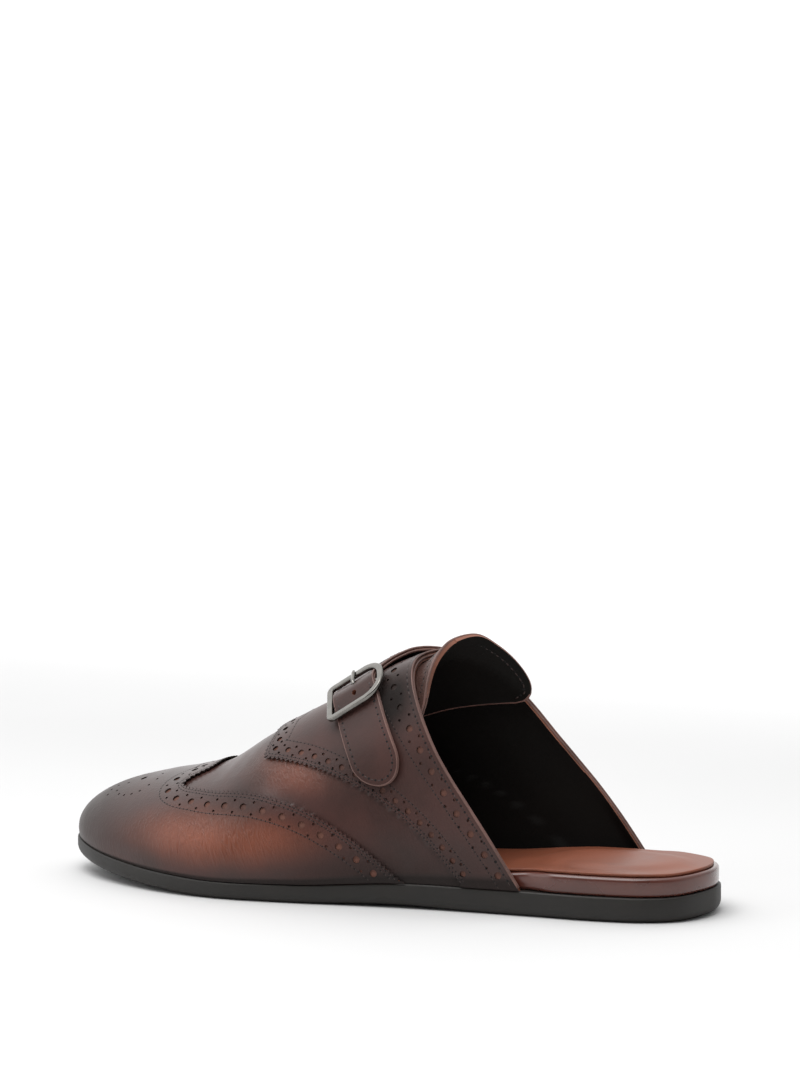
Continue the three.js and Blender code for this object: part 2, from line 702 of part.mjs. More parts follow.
function prongGeometry() {
  const points = PRONG_PATH.map(({ across, up }) => new THREE.Vector3(0, -across, up));
  const section = new THREE.Shape().absarc(0, 0, PRONG_DIAMETER / 2, 0, 2 * Math.PI, false);
  return new THREE.ExtrudeGeometry(section, {
    steps: PRONG_STEPS,
    curveSegments: CIRCLE_SIDES / 2,
    extrudePath: new THREE.CatmullRomCurve3(points),
    bevelEnabled: false,
  });
}

function pricked(geometry, matrix) {
  const radius = PRONG_HOLE.diameter / 2;
  const punch = new THREE.CylinderGeometry(radius, radius, 6 * STRAP_THICKNESS, CIRCLE_SIDES);
  punch.rotateX(Math.PI / 2);
  punch.translate(0, -PRONG_HOLE.across, 0);
  punch.applyMatrix4(matrix);
  return geometryOfSolid(solidOf(geometry).subtract(solidOf(punch)));
}

// Edge of the outsole from its tread up, then its top edge down. inset and up are shares of the rounding.
const TREAD_EDGE = [
  { inset: 1, up: 0 },
  { inset: 0.32, up: 0.42 },
  { inset: 0.06, up: 1 },
];
const TOP_EDGE = [
  { inset: 0, down: 0.35 },
  { inset: 0.1, down: 0 },
];

function outsoleGeometry() {
  const tread = TREAD_EDGE.map(({ inset, up }) =>
    ringAt(() => inset * TREAD_ROUNDING, (x) => soleBottom(x) + up * TREAD_ROUNDING),
  );
  const top = TOP_EDGE.map(({ inset, down }) =>
    ringAt(() => inset * TREAD_ROUNDING, (x) => soleTop(x) - down * TREAD_ROUNDING),
  );
  return layerGeometry([...tread, ...top]);
}

// The footbed stands out at the heel and lies inside the upper's wall in front of the topline.
const wallStart = {
  outer: featherPoint("outer", upperCurves.outer(0)).point.x,
  inner: featherPoint("inner", upperCurves.inner(0)).point.x,
};

function footbedInset(x, y) {
  const start = y > 0 ? wallStart.outer : wallStart.inner;
  const share = THREE.MathUtils.smoothstep(x, start - WALL_LEAD, start - 1);
  const inside = lipAt(x) + UPPER_WALL + 2 * GAP;
  return FOOTBED_LIP + (inside - FOOTBED_LIP) * share;
}

// Edge of the footbed. inset is a share of its rounding, up a share of its height.
const FOOTBED_EDGE = [
  { inset: 0.25, up: 0.0 },
  { inset: 0.0, up: 0.35 },
  { inset: 0.0, up: 0.65 },
  { inset: 0.4, up: 0.9 },
  { inset: 1.0, up: 1.0 },
];

function footbedGeometry() {
  const base = (x) => soleTop(x) + GAP;
  const rings = FOOTBED_EDGE.map(({ inset, up }) =>
    ringAt((x, y) => footbedInset(x, y) + inset * FOOTBED_ROUNDING, (x) => base(x) + up * footbedHeight(x)),
  );
  return layerGeometry(rings);
}

// Edge of the insole. inset and up are shares of its thickness.
const INSOLE_EDGE = [
  { inset: 0, up: 0 },
  { inset: 0, up: 0.6 },
  { inset: 0.4, up: 1 },
];

function insoleGeometry() {
  const base = (x) => soleTop(x) + 2 * GAP + footbedHeight(x);
  const margin = (x, y) => footbedInset(x, y) + INSOLE_MARGIN;
  const rings = INSOLE_EDGE.map(({ inset, up }) =>
    ringAt((x, y) => margin(x, y) + inset * INSOLE_THICKNESS, (x) => base(x) + up * INSOLE_THICKNESS),
  );
  return layerGeometry(rings);
}

const MATERIALS = {
  rubber: { color: 0x35302c, roughness: 0.75, metalness: 0 },
  burgundy: { color: 0x4a2622, roughness: 0.35, metalness: 0 },
  insole: { color: 0x8a4630, roughness: 0.5, metalness: 0 },
  vamp: { color: 0x4c302b, roughness: 0.32, metalness: 0 },
  cap: { color: 0x5a3128, roughness: 0.3, metalness: 0 },
  tongue: { color: 0x33201d, roughness: 0.5, metalness: 0 },
  metal: { color: 0x8b8a88, roughness: 0.22, metalness: 1 },
};

const object = new THREE.Group();

function addPiece(name, geometry, finish, matrix) {
  const mesh = new THREE.Mesh(geometry, new THREE.MeshStandardMaterial(MATERIALS[finish]));
  mesh.name = name;
  if (matrix) matrix.decompose(mesh.position, mesh.quaternion, mesh.scale);
  mesh.position.y -= SIDE_SHIFT;
  object.add(mesh);
}

const buckle = buckleBasis();
addPiece("outsole", outsoleGeometry(), "rubber");
addPiece("footbed", footbedGeometry(), "burgundy");
addPiece("insole", insoleGeometry(), "insole");
addPiece("upper", upperGeometry(), "vamp");
addPiece("wing_cap", wingCapGeometry(), "cap");
addPiece("quarter_outer", quarterGeometry(SEAM_STEP, ACROSS_STEPS), "vamp");
addPiece("quarter_inner", quarterGeometry(-ACROSS_STEPS, SEAM_STEP), "vamp");
addPiece("tongue", tongueGeometry(), "tongue");
addPiece("strap", pricked(strapGeometry(), buckle), "vamp");
addPiece("buckle_frame", frameGeometry(), "metal", buckle);
addPiece("buckle_prong", prongGeometry(), "metal", buckle);

export default object;
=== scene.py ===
"""Backless brogue slipper with a buckled strap, for the left foot: the pieces that show.

Sizes in the tables are millimetres or shares; meshes are in metres, in the frame of the solids:
+X to the toe, +Y to the outer side of the foot, +Z up. A place on the upper is two shares: how far
along it lies from the opening to the toe, and how far across from the inner foot to the outer foot.
"""
import math

import bmesh
import bpy
import numpy as np
from bpy.props import FloatProperty, FloatVectorProperty, PointerProperty
from mathutils import Matrix, Vector


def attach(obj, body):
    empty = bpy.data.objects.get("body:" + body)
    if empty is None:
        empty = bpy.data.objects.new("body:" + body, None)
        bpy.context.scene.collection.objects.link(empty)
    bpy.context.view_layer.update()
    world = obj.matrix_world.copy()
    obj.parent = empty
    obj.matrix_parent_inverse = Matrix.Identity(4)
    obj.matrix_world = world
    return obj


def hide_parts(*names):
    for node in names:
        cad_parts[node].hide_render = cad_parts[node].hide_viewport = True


bl_info = {
    "name": "Backless brogue slipper",
    "version": (1, 0, 0),
    "blender": (4, 5, 0),
    "location": "View3D > Sidebar > Slipper",
    "description": "Builds the visible pieces of a backless brogue slipper",
    "category": "Add Mesh",
}

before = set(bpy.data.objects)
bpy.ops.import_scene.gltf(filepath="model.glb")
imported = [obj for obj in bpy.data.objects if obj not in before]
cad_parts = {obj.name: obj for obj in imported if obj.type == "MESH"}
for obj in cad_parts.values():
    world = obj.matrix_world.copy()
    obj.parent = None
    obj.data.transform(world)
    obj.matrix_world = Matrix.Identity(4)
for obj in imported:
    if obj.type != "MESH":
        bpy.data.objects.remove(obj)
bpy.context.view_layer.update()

MM = 0.001

# The last: length, widths and height, and how far its middle line lies off the middle of the width.
SOLE_LENGTH = 300
BALL_WIDTH = 99
HEEL_WIDTH = 70
INSTEP_HEIGHT = 92.3
SIDE_SHIFT = 0.84
PLAN_PER_ROW = 24

# Outsole.
HEEL_THICKNESS = 10.8
FOREFOOT_THICKNESS = 7.6
TOE_SPRING = 7.8
ARCH_LIFT = 1.2
TREAD_ROUNDING = 4
TREAD_STEPS = 9
RIM_ROUNDING = 0.9
RIM_STEPS = 5
WELT_LIP = 2.4
SOLE_SCORED = 145
SOLE_SCORES = 40

# Footbed, and the insole with its heel pad.
FOOTBED_HEIGHT = 8
FOOTBED_LIP = 0.9
FOOTBED_ROUNDING = 1.8
FOOTBED_STEPS = 6
WALL_LEAD = 15
INSOLE_THICKNESS = 1.2
INSOLE_MARGIN = 2.2
INSOLE_ROUNDING = 0.5
INSOLE_SCORED = (147, 48)
INSOLE_SCORES = (110, 44)
PAD_CENTRE = (-105.0, 1.0)
PAD_REACH = (37.0, 25.0)
PAD_EDGE = 0.3

# Gap between two pieces, and the walls of the upper and of the pieces sewn on it.
GAP = 0.3
UPPER_WALL = 2.2
OVERLAY_WALL = 0.6
OVERLAY_TOP = 1.4

# Grid of the flat leather: units per share of the surface, and how closely it is scored to bend.
FLAT = 100
SCORES_ALONG = 70
SCORES_FROM = -0.16
SCORES_BEND = 1.5
SCORES_ACROSS = 76
CUT_REACH = 1e-7
MERGE_REACH = 0.01
SLIVER = 0.03
BEAD_MERGE = 0.001

# Steps on the surface, as shares, and how far a face may turn from it and still be part of it.
NEAR = 0.001
SLOPE_STEP = 0.01
FACING = 0.5
PLACE_DIGITS = 4

# How many places the edges of the leather have.
WING_PLACES = 520
FRONT_PLACES = 420
TOP_PLACES = 300
STRAP_PLACES = 240
TONGUE_PLACES = 160
SIDE_PLACES = 90
END_PLACES = 60
TIP_PLACES = 30

# Gimped teeth: pitch, depth, and the share of the depth at each quarter of a tooth.
TOOTH_PITCH = 2.4
TOOTH_DEPTH = 1.15
TOOTH_SHAPE = (0, 0.62, 1, 0.62)

# Brogue holes: radii, sides of their rims, and the leather that has to stay round them.
BIG_HOLE = 1.6
FRONT_HOLE = 1.376
SMALL_HOLE = 0.65
BIG_SIDES = 14
SMALL_SIDES = 8
HOLE_MARGIN = 0.9
HOLE_GAP = 0.55

# Rows of holes beside an edge: distance at the ridge and at the foot, reach of the small ones, pitch.
WING_ROW = {"top": 8.6, "base": 5.8, "reach": 2.7}
FRONT_ROW = {"top": 6.4, "base": 4.4, "reach": 2.1, "pitch": 7.0}
STRIP_ROW = {"top": 0.0, "base": 0.0, "reach": 2.5, "pitch": 10.2}

# Seams beside an edge: distance at the ridge and at the foot.
WING_SEAMS = ((1.5, 1.5), (2.9, 2.9), (13.2, 9.3))
FRONT_SEAMS = ((1.3, 1.3), (2.6, 2.6), (12.2, 7.4))
TOP_SEAM = 1.9
TONGUE_SEAM = 2.4
STRAP_SEAM = 1.8

# How near the foot, as shares across, an edge, a row of holes or a line beside an edge may come.
EDGE_FOOT = 0.997
LINE_FOOT = 0.995
WING_HOLES_FOOT = 0.97
FRONT_HOLES_FOOT = 0.985

# A line beside an edge: the steps that it is moved in, and the share of the distance it has to keep.
ROW_PARTS = 8
ROW_ROOM = 0.9

# Shares that holes and bare leather keep from the edges of a piece.
HOLES_ASIDE = 0.02
HOLES_BEHIND = 0.015
BARE_MARGIN = 0.02

# Swell of the vamp under the brogued pieces: height, and where it starts and how soon it is full.
GROUND_SWELL = 0.72
SWELL_START = 0.01
SWELL_RUN = 0.014
OPENING_START = 0.006
OPENING_RUN = 0.012

# The seam between the quarters: where it lies across, and half its width.
SEAM_ACROSS = -0.2
SEAM_HALF = 0.0015

# Tongue.
TONGUE_THICKNESS = 2.6
TONGUE_FLARE = 4.5
FLARE_START = 0.003
FLARE_BEND = 1.5
TONGUE_ROOT = 0.42
TONGUE_TAPER = 0.6
TONGUE_REACH = 0.533
TONGUE_GAP = 0.5
TONGUE_BEAD_DEPTH = 0.5
TONGUE_BEAD_START = 20

# Strap.
STRAP_THICKNESS = 2.4
STRAP_WIDTH = 21
STRAP_ALONG = 0.262
STRAP_START = -0.267
STRAP_ROUND = 0.6
STRAP_TIP = 0.7
STRAP_REST = 1.85
STRAP_ARCH = 1.8
STRAP_BOW = 2.4
STRAP_BEAD_DEPTH = 0.55
PRONG_HOLE = 1.5
PRONG_HOLE_STEP = 2.6
SPARE_HOLE = 1.1
SPARE_HOLE_STEP = 3.0

# Buckle.
BUCKLE_ACROSS = 0.22
FRAME_LENGTH = 30
FRAME_WIDTH = 24
FRAME_BAR = 2.6
FRAME_DEPTH = 2
FRAME_CORNER = 10.5
FRONT_CORNER = 3.4
CORNER_PLACES = 12
FRAME_CLEARANCE = 2.3
FRAME_FACE = 3.0
FRAME_SHARP = 50
FRAME_BEVEL = 0.6
BEVEL_SEGMENTS = 4
PIN_DIAMETER = 1.8
PIN_SIDES = 20
PIN_DROP = 1.6
PRONG_DIAMETER = 1.9
PRONG_PLACES = 40
PRONG_TAPER = 0.35

# Beads round the opening: how far off the last each lies.
OPENING_BEADS = {"outer": 0.75, "inner": -0.9}

# Sewing: how deep threads and needle holes are sunk, and how many are made at once.
THREAD_SINK = 0.12
NEEDLE_SINK = 0.07
NEEDLE_DEPTH = 0.3
STITCHES_AT_ONCE = 16

# Creases: millimetres per share of the surface along and across, and how close to an end one fades.
CREASE_SCALE = (190.0, 95.0)
CREASE_FADE = 0.04

# Painted shade of the calf along its foot, where it meets the sole: shares across where it darkens to the
# foot, how far, and its mottle.
FOOT_PAINTED_SHADE = (0.965, 0.985)
FOOT_SHADE_STRENGTH = 0.9
MOTTLE = 0.35
CREASE_FLOOR = 0.12
CALF_COAT = 0.18
CALF_COAT_ROUGHNESS = 0.22
CALF_SHINE = 0.34
TONE_ROUGHNESS = 0.08
DULL_ROUGHNESS = 0.4
CREASE_TURN = (0.0, 0.37, 0.0)
CREASE_GRAIN = (0.0019, 0.0019, 0.011)

# How much of its sheen the calf loses where it has each tone: all of it under painted shade, some at the
# burnished toe.
DULLING = {"shade": 1.0, "grey": 0.55}

# Where the shade under the strap lies: a place on the upper and its lift.
BARE_PLACE = (0.13, 0.38, 1.4)

BLACK = (0, 0, 0, 1)
WHITE = (1, 1, 1, 1)

# Camera: place in metres, turn about the vertical and tilt in radians, and lens in millimetres.
PHOTO_PLACE = (-0.92462, 2.17743, 0.44024)
PHOTO_YAW = 3.54099
PHOTO_PITCH = 0.11988
PHOTO_LENS = 187.37

# Lights, in metres.
KEY_LIGHT = {"place": (0.12, 0.5, 1.25), "target": (0.02, 0, 0.04), "size": (1.1, 1.1)}
FILL_LIGHT = {"place": (1.5, 1.3, 0.7), "target": (0.08, 0, 0.03), "size": (1.2, 1.2)}

# Floor: reach and where its glow fades, in metres. Sky: between which directions it changes.
FLOOR_REACH = 60
GLOW_FADE = (-1.4, -0.3)
HORIZON_FADE = (0.0, 0.8)
CAMERA_FADE = (-0.2, 0.8)
HEEL_FADE = (-0.8, 0.6)

# Slopes of curves, node groups, materials and seams, kept once they are worked out.
TANGENTS = {}
GROUPS = {}
MATERIALS = {}
SEWING = []


def table(names, *rows):
    """A table's columns by name."""
    return {name: np.array(column, float) for name, column in zip(names.split(), zip(*rows))}


OUTLINE = table(
    "station heel ball",
    (0.0, 0.0, 0.0),
    (0.022, 0.302, 0.0),
    (0.07, 0.446, 0.0),
    (0.14, 0.506, 0.0),
    (0.25, 0.43, 0.061),
    (0.38, 0.2, 0.244),
    (0.5, 0.0, 0.43),
    (0.61, 0.0, 0.485),
    (0.7, 0.0, 0.505),
    (0.79, 0.0, 0.465),
    (0.87, 0.0, 0.37),
    (0.94, 0.0, 0.235),
    (0.985, 0.0, 0.08),
    (1.0, 0.0, -0.06),
    (0.985, 0.0, -0.2),
    (0.94, 0.0, -0.33),
    (0.87, 0.0, -0.42),
    (0.79, 0.0, -0.475),
    (0.71, 0.0, -0.49),
    (0.61, 0.0, -0.44),
    (0.5, 0.0, -0.345),
    (0.38, -0.17, -0.178),
    (0.25, -0.37, -0.056),
    (0.14, -0.491, 0.0),
    (0.07, -0.438, 0.0),
    (0.022, -0.302, 0.0),
)

SOLE_PROFILE = table(
    "station arch spring heel forefoot",
    (0.0, 0.0, 0.12, 1.0, 0.0),
    (0.05, 0.0, 0.0, 1.0, 0.0),
    (0.3, 0.0, 0.0, 1.0, 0.0),
    (0.44, 1.0, 0.0, 0.6, 0.4),
    (0.58, 0.0, 0.0, 0.2, 0.8),
    (0.7, 0.0, 0.0, 0.0, 1.0),
    (0.8, 0.0, 0.18, 0.0, 1.0),
    (0.9, 0.0, 0.5, 0.0, 1.0),
    (1.0, 0.0, 1.0, 0.0, 1.0),
)

FIT_PROFILE = table(
    "station lip footbed",
    (0.0, 0.3, 1.0),
    (0.2, 0.3, 1.0),
    (0.34, 0.3, 0.6),
    (0.5, 0.3, 0.35),
    (0.75, 0.8, 0.32),
    (1.0, 1.0, 0.32),
)

SECTIONS = table(
    "along outer inner ridge height offset rise crown outer_lean inner_lean bulge",
    (-0.16, 0.2, 0.095, 0.37, 1.11, -0.02, 0.76, 0.62, 1.1, 0.72, 0.02),
    (0, 0.276, 0.172, 0.437, 1.012, 0.03, 0.76, 0.64, 1.12, 0.71, 0.02),
    (0.15, 0.338, 0.262, 0.488, 0.946, 0.03, 0.72, 0.64, 1.02, 0.76, 0.022),
    (0.3, 0.412, 0.355, 0.543, 0.848, 0.03, 0.68, 0.64, 0.88, 0.74, 0.026),
    (0.45, 0.49, 0.455, 0.607, 0.745, 0.03, 0.62, 0.64, 0.7, 0.66, 0.032),
    (0.58, 0.584, 0.569, 0.677, 0.628, 0.025, 0.56, 0.64, 0.5, 0.5, 0.04),
    (0.7, 0.68, 0.676, 0.745, 0.487, 0.01, 0.52, 0.66, 0.3, 0.3, 0.044),
    (0.8, 0.764, 0.767, 0.8, 0.42, -0.01, 0.5, 0.7, 0.12, 0.12, 0.044),
    (0.88, 0.842, 0.845, 0.838, 0.386, -0.025, 0.47, 0.7, 0, 0, 0.042),
    (0.94, 0.918, 0.92, 0.862, 0.36, -0.035, 0.45, 0.67, 0, 0, 0.04),
    (1, 1, 1, 0.878, 0.342, -0.04, 0.43, 0.65, 0, 0, 0.038),
)

# Dots of the toe's medallion on one side of its middle line, and whether each is a large hole.
MEDALLION = table(
    "along across large",
    (0.918, 0.186, 1),
    (0.937, 0.378, 0),
    (0.905, 0.421, 0),
    (0.877, 0.370, 0),
    (0.869, 0.302, 0),
    (0.866, 0.226, 0),
    (0.876, 0.138, 0),
    (0.942, 0.261, 0),
    (0.974, 0.106, 0),
    (0.960, 0.312, 0),
    (0.920, 0.413, 0),
    (0.890, 0.404, 0),
    (0.959, 0.378, 0),
    (0.947, 0.444, 0),
)

WING_EDGE = table(
    "across along",
    (0.0, 0.712),
    (0.14, 0.727),
    (0.21, 0.757),
    (0.26, 0.774),
    (0.305, 0.779),
    (0.345, 0.765),
    (0.39, 0.728),
    (0.485, 0.655),
    (0.65, 0.538),
    (0.795, 0.454),
    (1.0, 0.33),
)

QUARTER_EDGE = table(
    "across along",
    (0.0, 0.52),
    (0.08, 0.55),
    (0.18, 0.566),
    (0.34, 0.588),
    (0.42, 0.545),
    (0.483, 0.504),
    (0.581, 0.438),
    (0.757, 0.302),
    (0.824, 0.257),
    (0.908, 0.214),
    (1.0, 0.182),
)

# The opening's edge, the row of large holes beside it and the seam in front of them.
TOPLINE = table(
    "across edge holes seam",
    (0.0, 0.006, 0.108, 0.2),
    (0.3, 0.008, 0.1, 0.185),
    (0.45, 0.011, 0.09, 0.163),
    (0.572, 0.0165, 0.0795, 0.144),
    (0.66, 0.0195, 0.0735, 0.129),
    (0.74, 0.0155, 0.0685, 0.11),
    (0.82, 0.0075, 0.06, 0.091),
    (0.9, 0.0025, 0.0455, 0.074),
    (0.962, 0.0015, 0.039, 0.065),
    (1.0, 0.001, 0.037, 0.062),
)

TONGUE_END = table(
    "across along",
    (-0.534, 0.035),
    (-0.526, 0.004),
    (-0.506, -0.02),
    (-0.468, -0.041),
    (-0.4, -0.058),
    (-0.25, -0.08),
    (-0.1, -0.1),
    (0.05, -0.095),
    (0.2, -0.07),
    (0.36, -0.035),
    (0.48, 0.01),
    (0.56, 0.06),
)

STRAP_PATH = table(
    "across rear front arch",
    (-0.27, 1.5, 0.55, 0.0),
    (-0.16, 1.3, 0.52, 0.8),
    (-0.08, 1.1, 0.5, 1.0),
    (-0.02, 0.85, 0.5, 0.6),
    (0.05, 0.52, 0.5, 0.0),
    (0.12, 0.5, 0.5, 0.0),
    (0.7, 0.5, 0.5, 0.0),
)

PIN_BOW = table(
    "past bow",
    (-0.16, 0.0),
    (-0.095, 0.3),
    (-0.05, 0.75),
    (0.0, 1.0),
    (0.045, 0.75),
    (0.09, 0.3),
    (0.15, 0.0),
)

# The footbed's rounded lower edge: how far in, and the share of the height.
WRAP_EDGE = table(
    "inset up",
    (0.9, 0.0),
    (0.35, 0.05),
    (0.0, 0.2),
    (0.0, 0.5),
)

# The prong's path over the frame, in its own axes.
PRONG_PATH = table(
    "across up",
    (2.2, -1.2),
    (2.3, 0.2),
    (3.2, 1.6),
    (5.0, 2.0),
    (8.0, 1.85),
    (10.7, 1.65),
    (12.0, 1.35),
)

# Creases that the foot has pressed in: from one place to another, how wide and how deep.
CREASES = table(
    "along across along_end across_end width depth",
    (0.715, 0.33, 0.66, 0.1, 4.0, 0.3),
    (0.675, 0.37, 0.61, 0.12, 4.2, 0.34),
    (0.635, 0.4, 0.575, 0.17, 4.0, 0.28),
    (0.6, 0.46, 0.53, 0.66, 5.0, 0.3),
    (0.55, 0.56, 0.49, 0.74, 4.0, 0.22),
    (0.7, -0.33, 0.65, -0.13, 4.0, 0.3),
    (0.655, -0.37, 0.6, -0.15, 4.2, 0.3),
)


def tangents(columns, key, name):
    """Slopes of the monotone cubic at a column's rows, worked out once."""
    known = (id(columns), key, name)
    if known not in TANGENTS:
        gap = np.diff(columns[key])
        slope = np.diff(columns[name]) / gap
        first = 2 * gap[1:] + gap[:-1]
        second = gap[1:] + 2 * gap[:-1]
        same = slope[:-1] * slope[1:] > 0
        before = np.where(same, slope[:-1], 1)
        after = np.where(same, slope[1:], 1)
        middle = np.where(same, (first + second) / (first / before + second / after), 0)
        TANGENTS[known] = gap, np.concatenate([slope[:1], middle, slope[-1:]])
    return TANGENTS[known]


def curve(columns, key, name, at):
    """Monotone cubic through one column of a table."""
    x = columns[key]
    y = columns[name]
    gap, tangent = tangents(columns, key, name)
    at = np.asarray(at, float)
    i = np.clip(np.searchsorted(x, at, side="right") - 1, 0, len(x) - 2)
    t = np.clip((at - x[i]) / gap[i], 0, 1)
    start = (2 * t**3 - 3 * t**2 + 1) * y[i] + (t**3 - 2 * t**2 + t) * gap[i] * tangent[i]
    return start + (3 * t**2 - 2 * t**3) * y[i + 1] + (t**3 - t**2) * gap[i] * tangent[i + 1]


def edge_at(edge, across, name="along"):
    """How far along an edge lies at a place across, the same on both sides."""
    return curve(edge, "across", name, np.abs(across))


def station_of(x):
    return x / SOLE_LENGTH + 0.5


def sole_bottom(x):
    u = station_of(x)
    arch = curve(SOLE_PROFILE, "station", "arch", u) * ARCH_LIFT
    return arch + curve(SOLE_PROFILE, "station", "spring", u) * TOE_SPRING


def sole_top(x):
    u = station_of(x)
    heel = curve(SOLE_PROFILE, "station", "heel", u) * HEEL_THICKNESS
    return sole_bottom(x) + heel + curve(SOLE_PROFILE, "station", "forefoot", u) * FOREFOOT_THICKNESS


def footbed_height(x):
    return curve(FIT_PROFILE, "station", "footbed", station_of(x)) * FOOTBED_HEIGHT


def lip_at(x):
    return curve(FIT_PROFILE, "station", "lip", station_of(x)) * WELT_LIP


def closed_curve(points, per_row):
    """A centripetal curve round closed points."""
    p = [np.roll(points, shift, axis=0) for shift in (1, 0, -1, -2)]
    gap = [np.linalg.norm(p[k + 1] - p[k], axis=1)[:, None] ** 0.5 for k in range(3)]
    step = [(p[k + 1] - p[k]) / gap[k] for k in range(3)]
    start = (step[0] - (p[2] - p[0]) / (gap[0] + gap[1]) + step[1]) * gap[1]
    end = (step[1] - (p[3] - p[1]) / (gap[1] + gap[2]) + step[2]) * gap[1]
    t = (np.arange(per_row) / per_row)[None, :, None]
    a, b, s, e = (value[:, None, :] for value in (p[1], p[2], start, end))
    run = a + s * t + (3 * (b - a) - 2 * s - e) * t**2 + (2 * (a - b) + s + e) * t**3
    return run.reshape(-1, points.shape[1])


def plan_points():
    x = (OUTLINE["station"] - 0.5) * SOLE_LENGTH
    y = OUTLINE["heel"] * HEEL_WIDTH + OUTLINE["ball"] * BALL_WIDTH
    return closed_curve(np.column_stack([x, y]), PLAN_PER_ROW)


PLAN = plan_points()


def plan_inset(inset):
    """The plan moved inwards by a function of x and y."""
    along = np.roll(PLAN, -1, axis=0) - np.roll(PLAN, 1, axis=0)
    along /= np.linalg.norm(along, axis=1)[:, None]
    inward = np.column_stack([along[:, 1], -along[:, 0]])
    return PLAN + inward * np.broadcast_to(inset(PLAN[:, 0], PLAN[:, 1]), len(PLAN))[:, None]


def feather_sides():
    """Where the upper stands on the outsole: each side from heel to toe, with the lengths along it."""
    points = plan_inset(lambda x, y: lip_at(x))
    back = int(np.argmin(points[:, 0]))
    front = int(np.argmax(points[:, 0]))
    turned = np.roll(points, -back, axis=0)
    nose = (front - back) % len(points)
    outer = turned[: nose + 1]
    inner = np.vstack([turned[:1], turned[nose:][::-1]])
    sides = {}
    for name, side in (("outer", outer), ("inner", inner)):
        lengths = np.concatenate([[0], np.cumsum(np.linalg.norm(np.diff(side, axis=0), axis=1))])
        sides[name] = (side, lengths)
    return sides


FEATHER = feather_sides()


def feather_point(name, share):
    side, lengths = FEATHER[name]
    want = share * lengths[-1]
    i = np.clip(np.searchsorted(lengths, want, side="left") - 1, 0, len(side) - 2)
    t = ((want - lengths[i]) / (lengths[i + 1] - lengths[i]))[..., None]
    step = side[i + 1] - side[i]
    along = step / np.linalg.norm(step, axis=-1)[..., None]
    turn = 1 if name == "outer" else -1
    outward = np.stack([-turn * along[..., 1], turn * along[..., 0]], axis=-1)
    outward = np.where((share < 1)[..., None], outward, np.array([1.0, 0.0]))
    return side[i] + step * t, outward


def ridge_point(along):
    x = (curve(SECTIONS, "along", "ridge", along) - 0.5) * SOLE_LENGTH
    y = curve(SECTIONS, "along", "offset", along) * BALL_WIDTH
    z = sole_top(x) + curve(SECTIONS, "along", "height", along) * INSTEP_HEIGHT
    return np.stack([x, y, z], axis=-1)


def half_upper(name, along, across):
    """One side of the upper: cubic curves from its foot over its side and top to the ridge."""
    flat, outward = feather_point(name, curve(SECTIONS, "along", name, along))
    foot = np.concatenate([flat, (sole_top(flat[..., 0]) + GAP)[..., None]], axis=-1)
    ridge = ridge_point(along)
    ahead_at = np.minimum(along + SLOPE_STEP, 1)
    ahead = ridge_point(ahead_at) - ridge_point(ahead_at - 2 * SLOPE_STEP)
    lean = curve(SECTIONS, "along", name + "_lean", along)
    rise = curve(SECTIONS, "along", "rise", along)
    crown = curve(SECTIONS, "along", "crown", along)
    bulge = curve(SECTIONS, "along", "bulge", along) * BALL_WIDTH
    side = foot.copy()
    side[..., 0] += rise * lean * (ridge[..., 0] - foot[..., 0]) + outward[..., 0] * bulge
    side[..., 1] += outward[..., 1] * bulge
    side[..., 2] += rise * (ridge[..., 2] - foot[..., 2])
    forward = crown * (1 - lean) * (foot[..., 0] - ridge[..., 0]) / ahead[..., 0]
    top = ridge + ahead * forward[..., None]
    top[..., 1] += crown * (foot[..., 1] - ridge[..., 1])
    t = (1 - np.abs(across))[..., None]
    start = foot * (1 - t) ** 3 + 3 * side * (1 - t) ** 2 * t
    return start + 3 * top * (1 - t) * t**2 + ridge * t**3


def upper_point(along, across):
    """Outer surface of the upper. across runs from -1 at the inner foot over 0 at the ridge to 1."""
    along, across = np.broadcast_arrays(np.asarray(along, float), np.asarray(across, float))
    outer = half_upper("outer", along, across)
    inner = half_upper("inner", along, across)
    return np.where((across >= 0)[..., None], outer, inner)


def raw_normal(along, across):
    step = 4 * NEAR
    rear = np.maximum(along - step, SECTIONS["along"][0])
    front = np.minimum(along + step, 1)
    left = np.maximum(across - step, -1)
    right = np.minimum(across + step, 1)
    forward = upper_point(front, across) - upper_point(rear, across)
    sideways = upper_point(along, right) - upper_point(along, left)
    return unit(np.cross(forward, sideways))


def unit(vectors):
    return vectors / np.maximum(np.linalg.norm(vectors, axis=-1), 1e-12)[..., None]


def eased(share):
    """A share that starts and ends softly."""
    share = np.clip(share, 0, 1)
    return share * share * (3 - 2 * share)


def upper_normal(along, across):
    """Normal of the upper: on the ridge, and where the toe folds, the mean of both sides."""
    along, across = np.broadcast_arrays(np.asarray(along, float), np.asarray(across, float))
    side = np.where(np.abs(across) < NEAR, NEAR, across)
    at = np.minimum(along, 1 - NEAR)
    here = raw_normal(at, side)
    across_fold = (np.abs(across) < NEAR) | (along > 1 - NEAR)
    mirrored = raw_normal(at, np.where(across_fold, -side, side))
    return unit(here + mirrored)


def lifted(along, across, lift):
    """Points off the surface, never lower than the outsole's top."""
    lift = np.asarray(lift, float)
    points = upper_point(along, across) + upper_normal(along, across) * lift[..., None]
    points[..., 2] = np.maximum(points[..., 2], sole_top(points[..., 0]) + GAP)
    return points


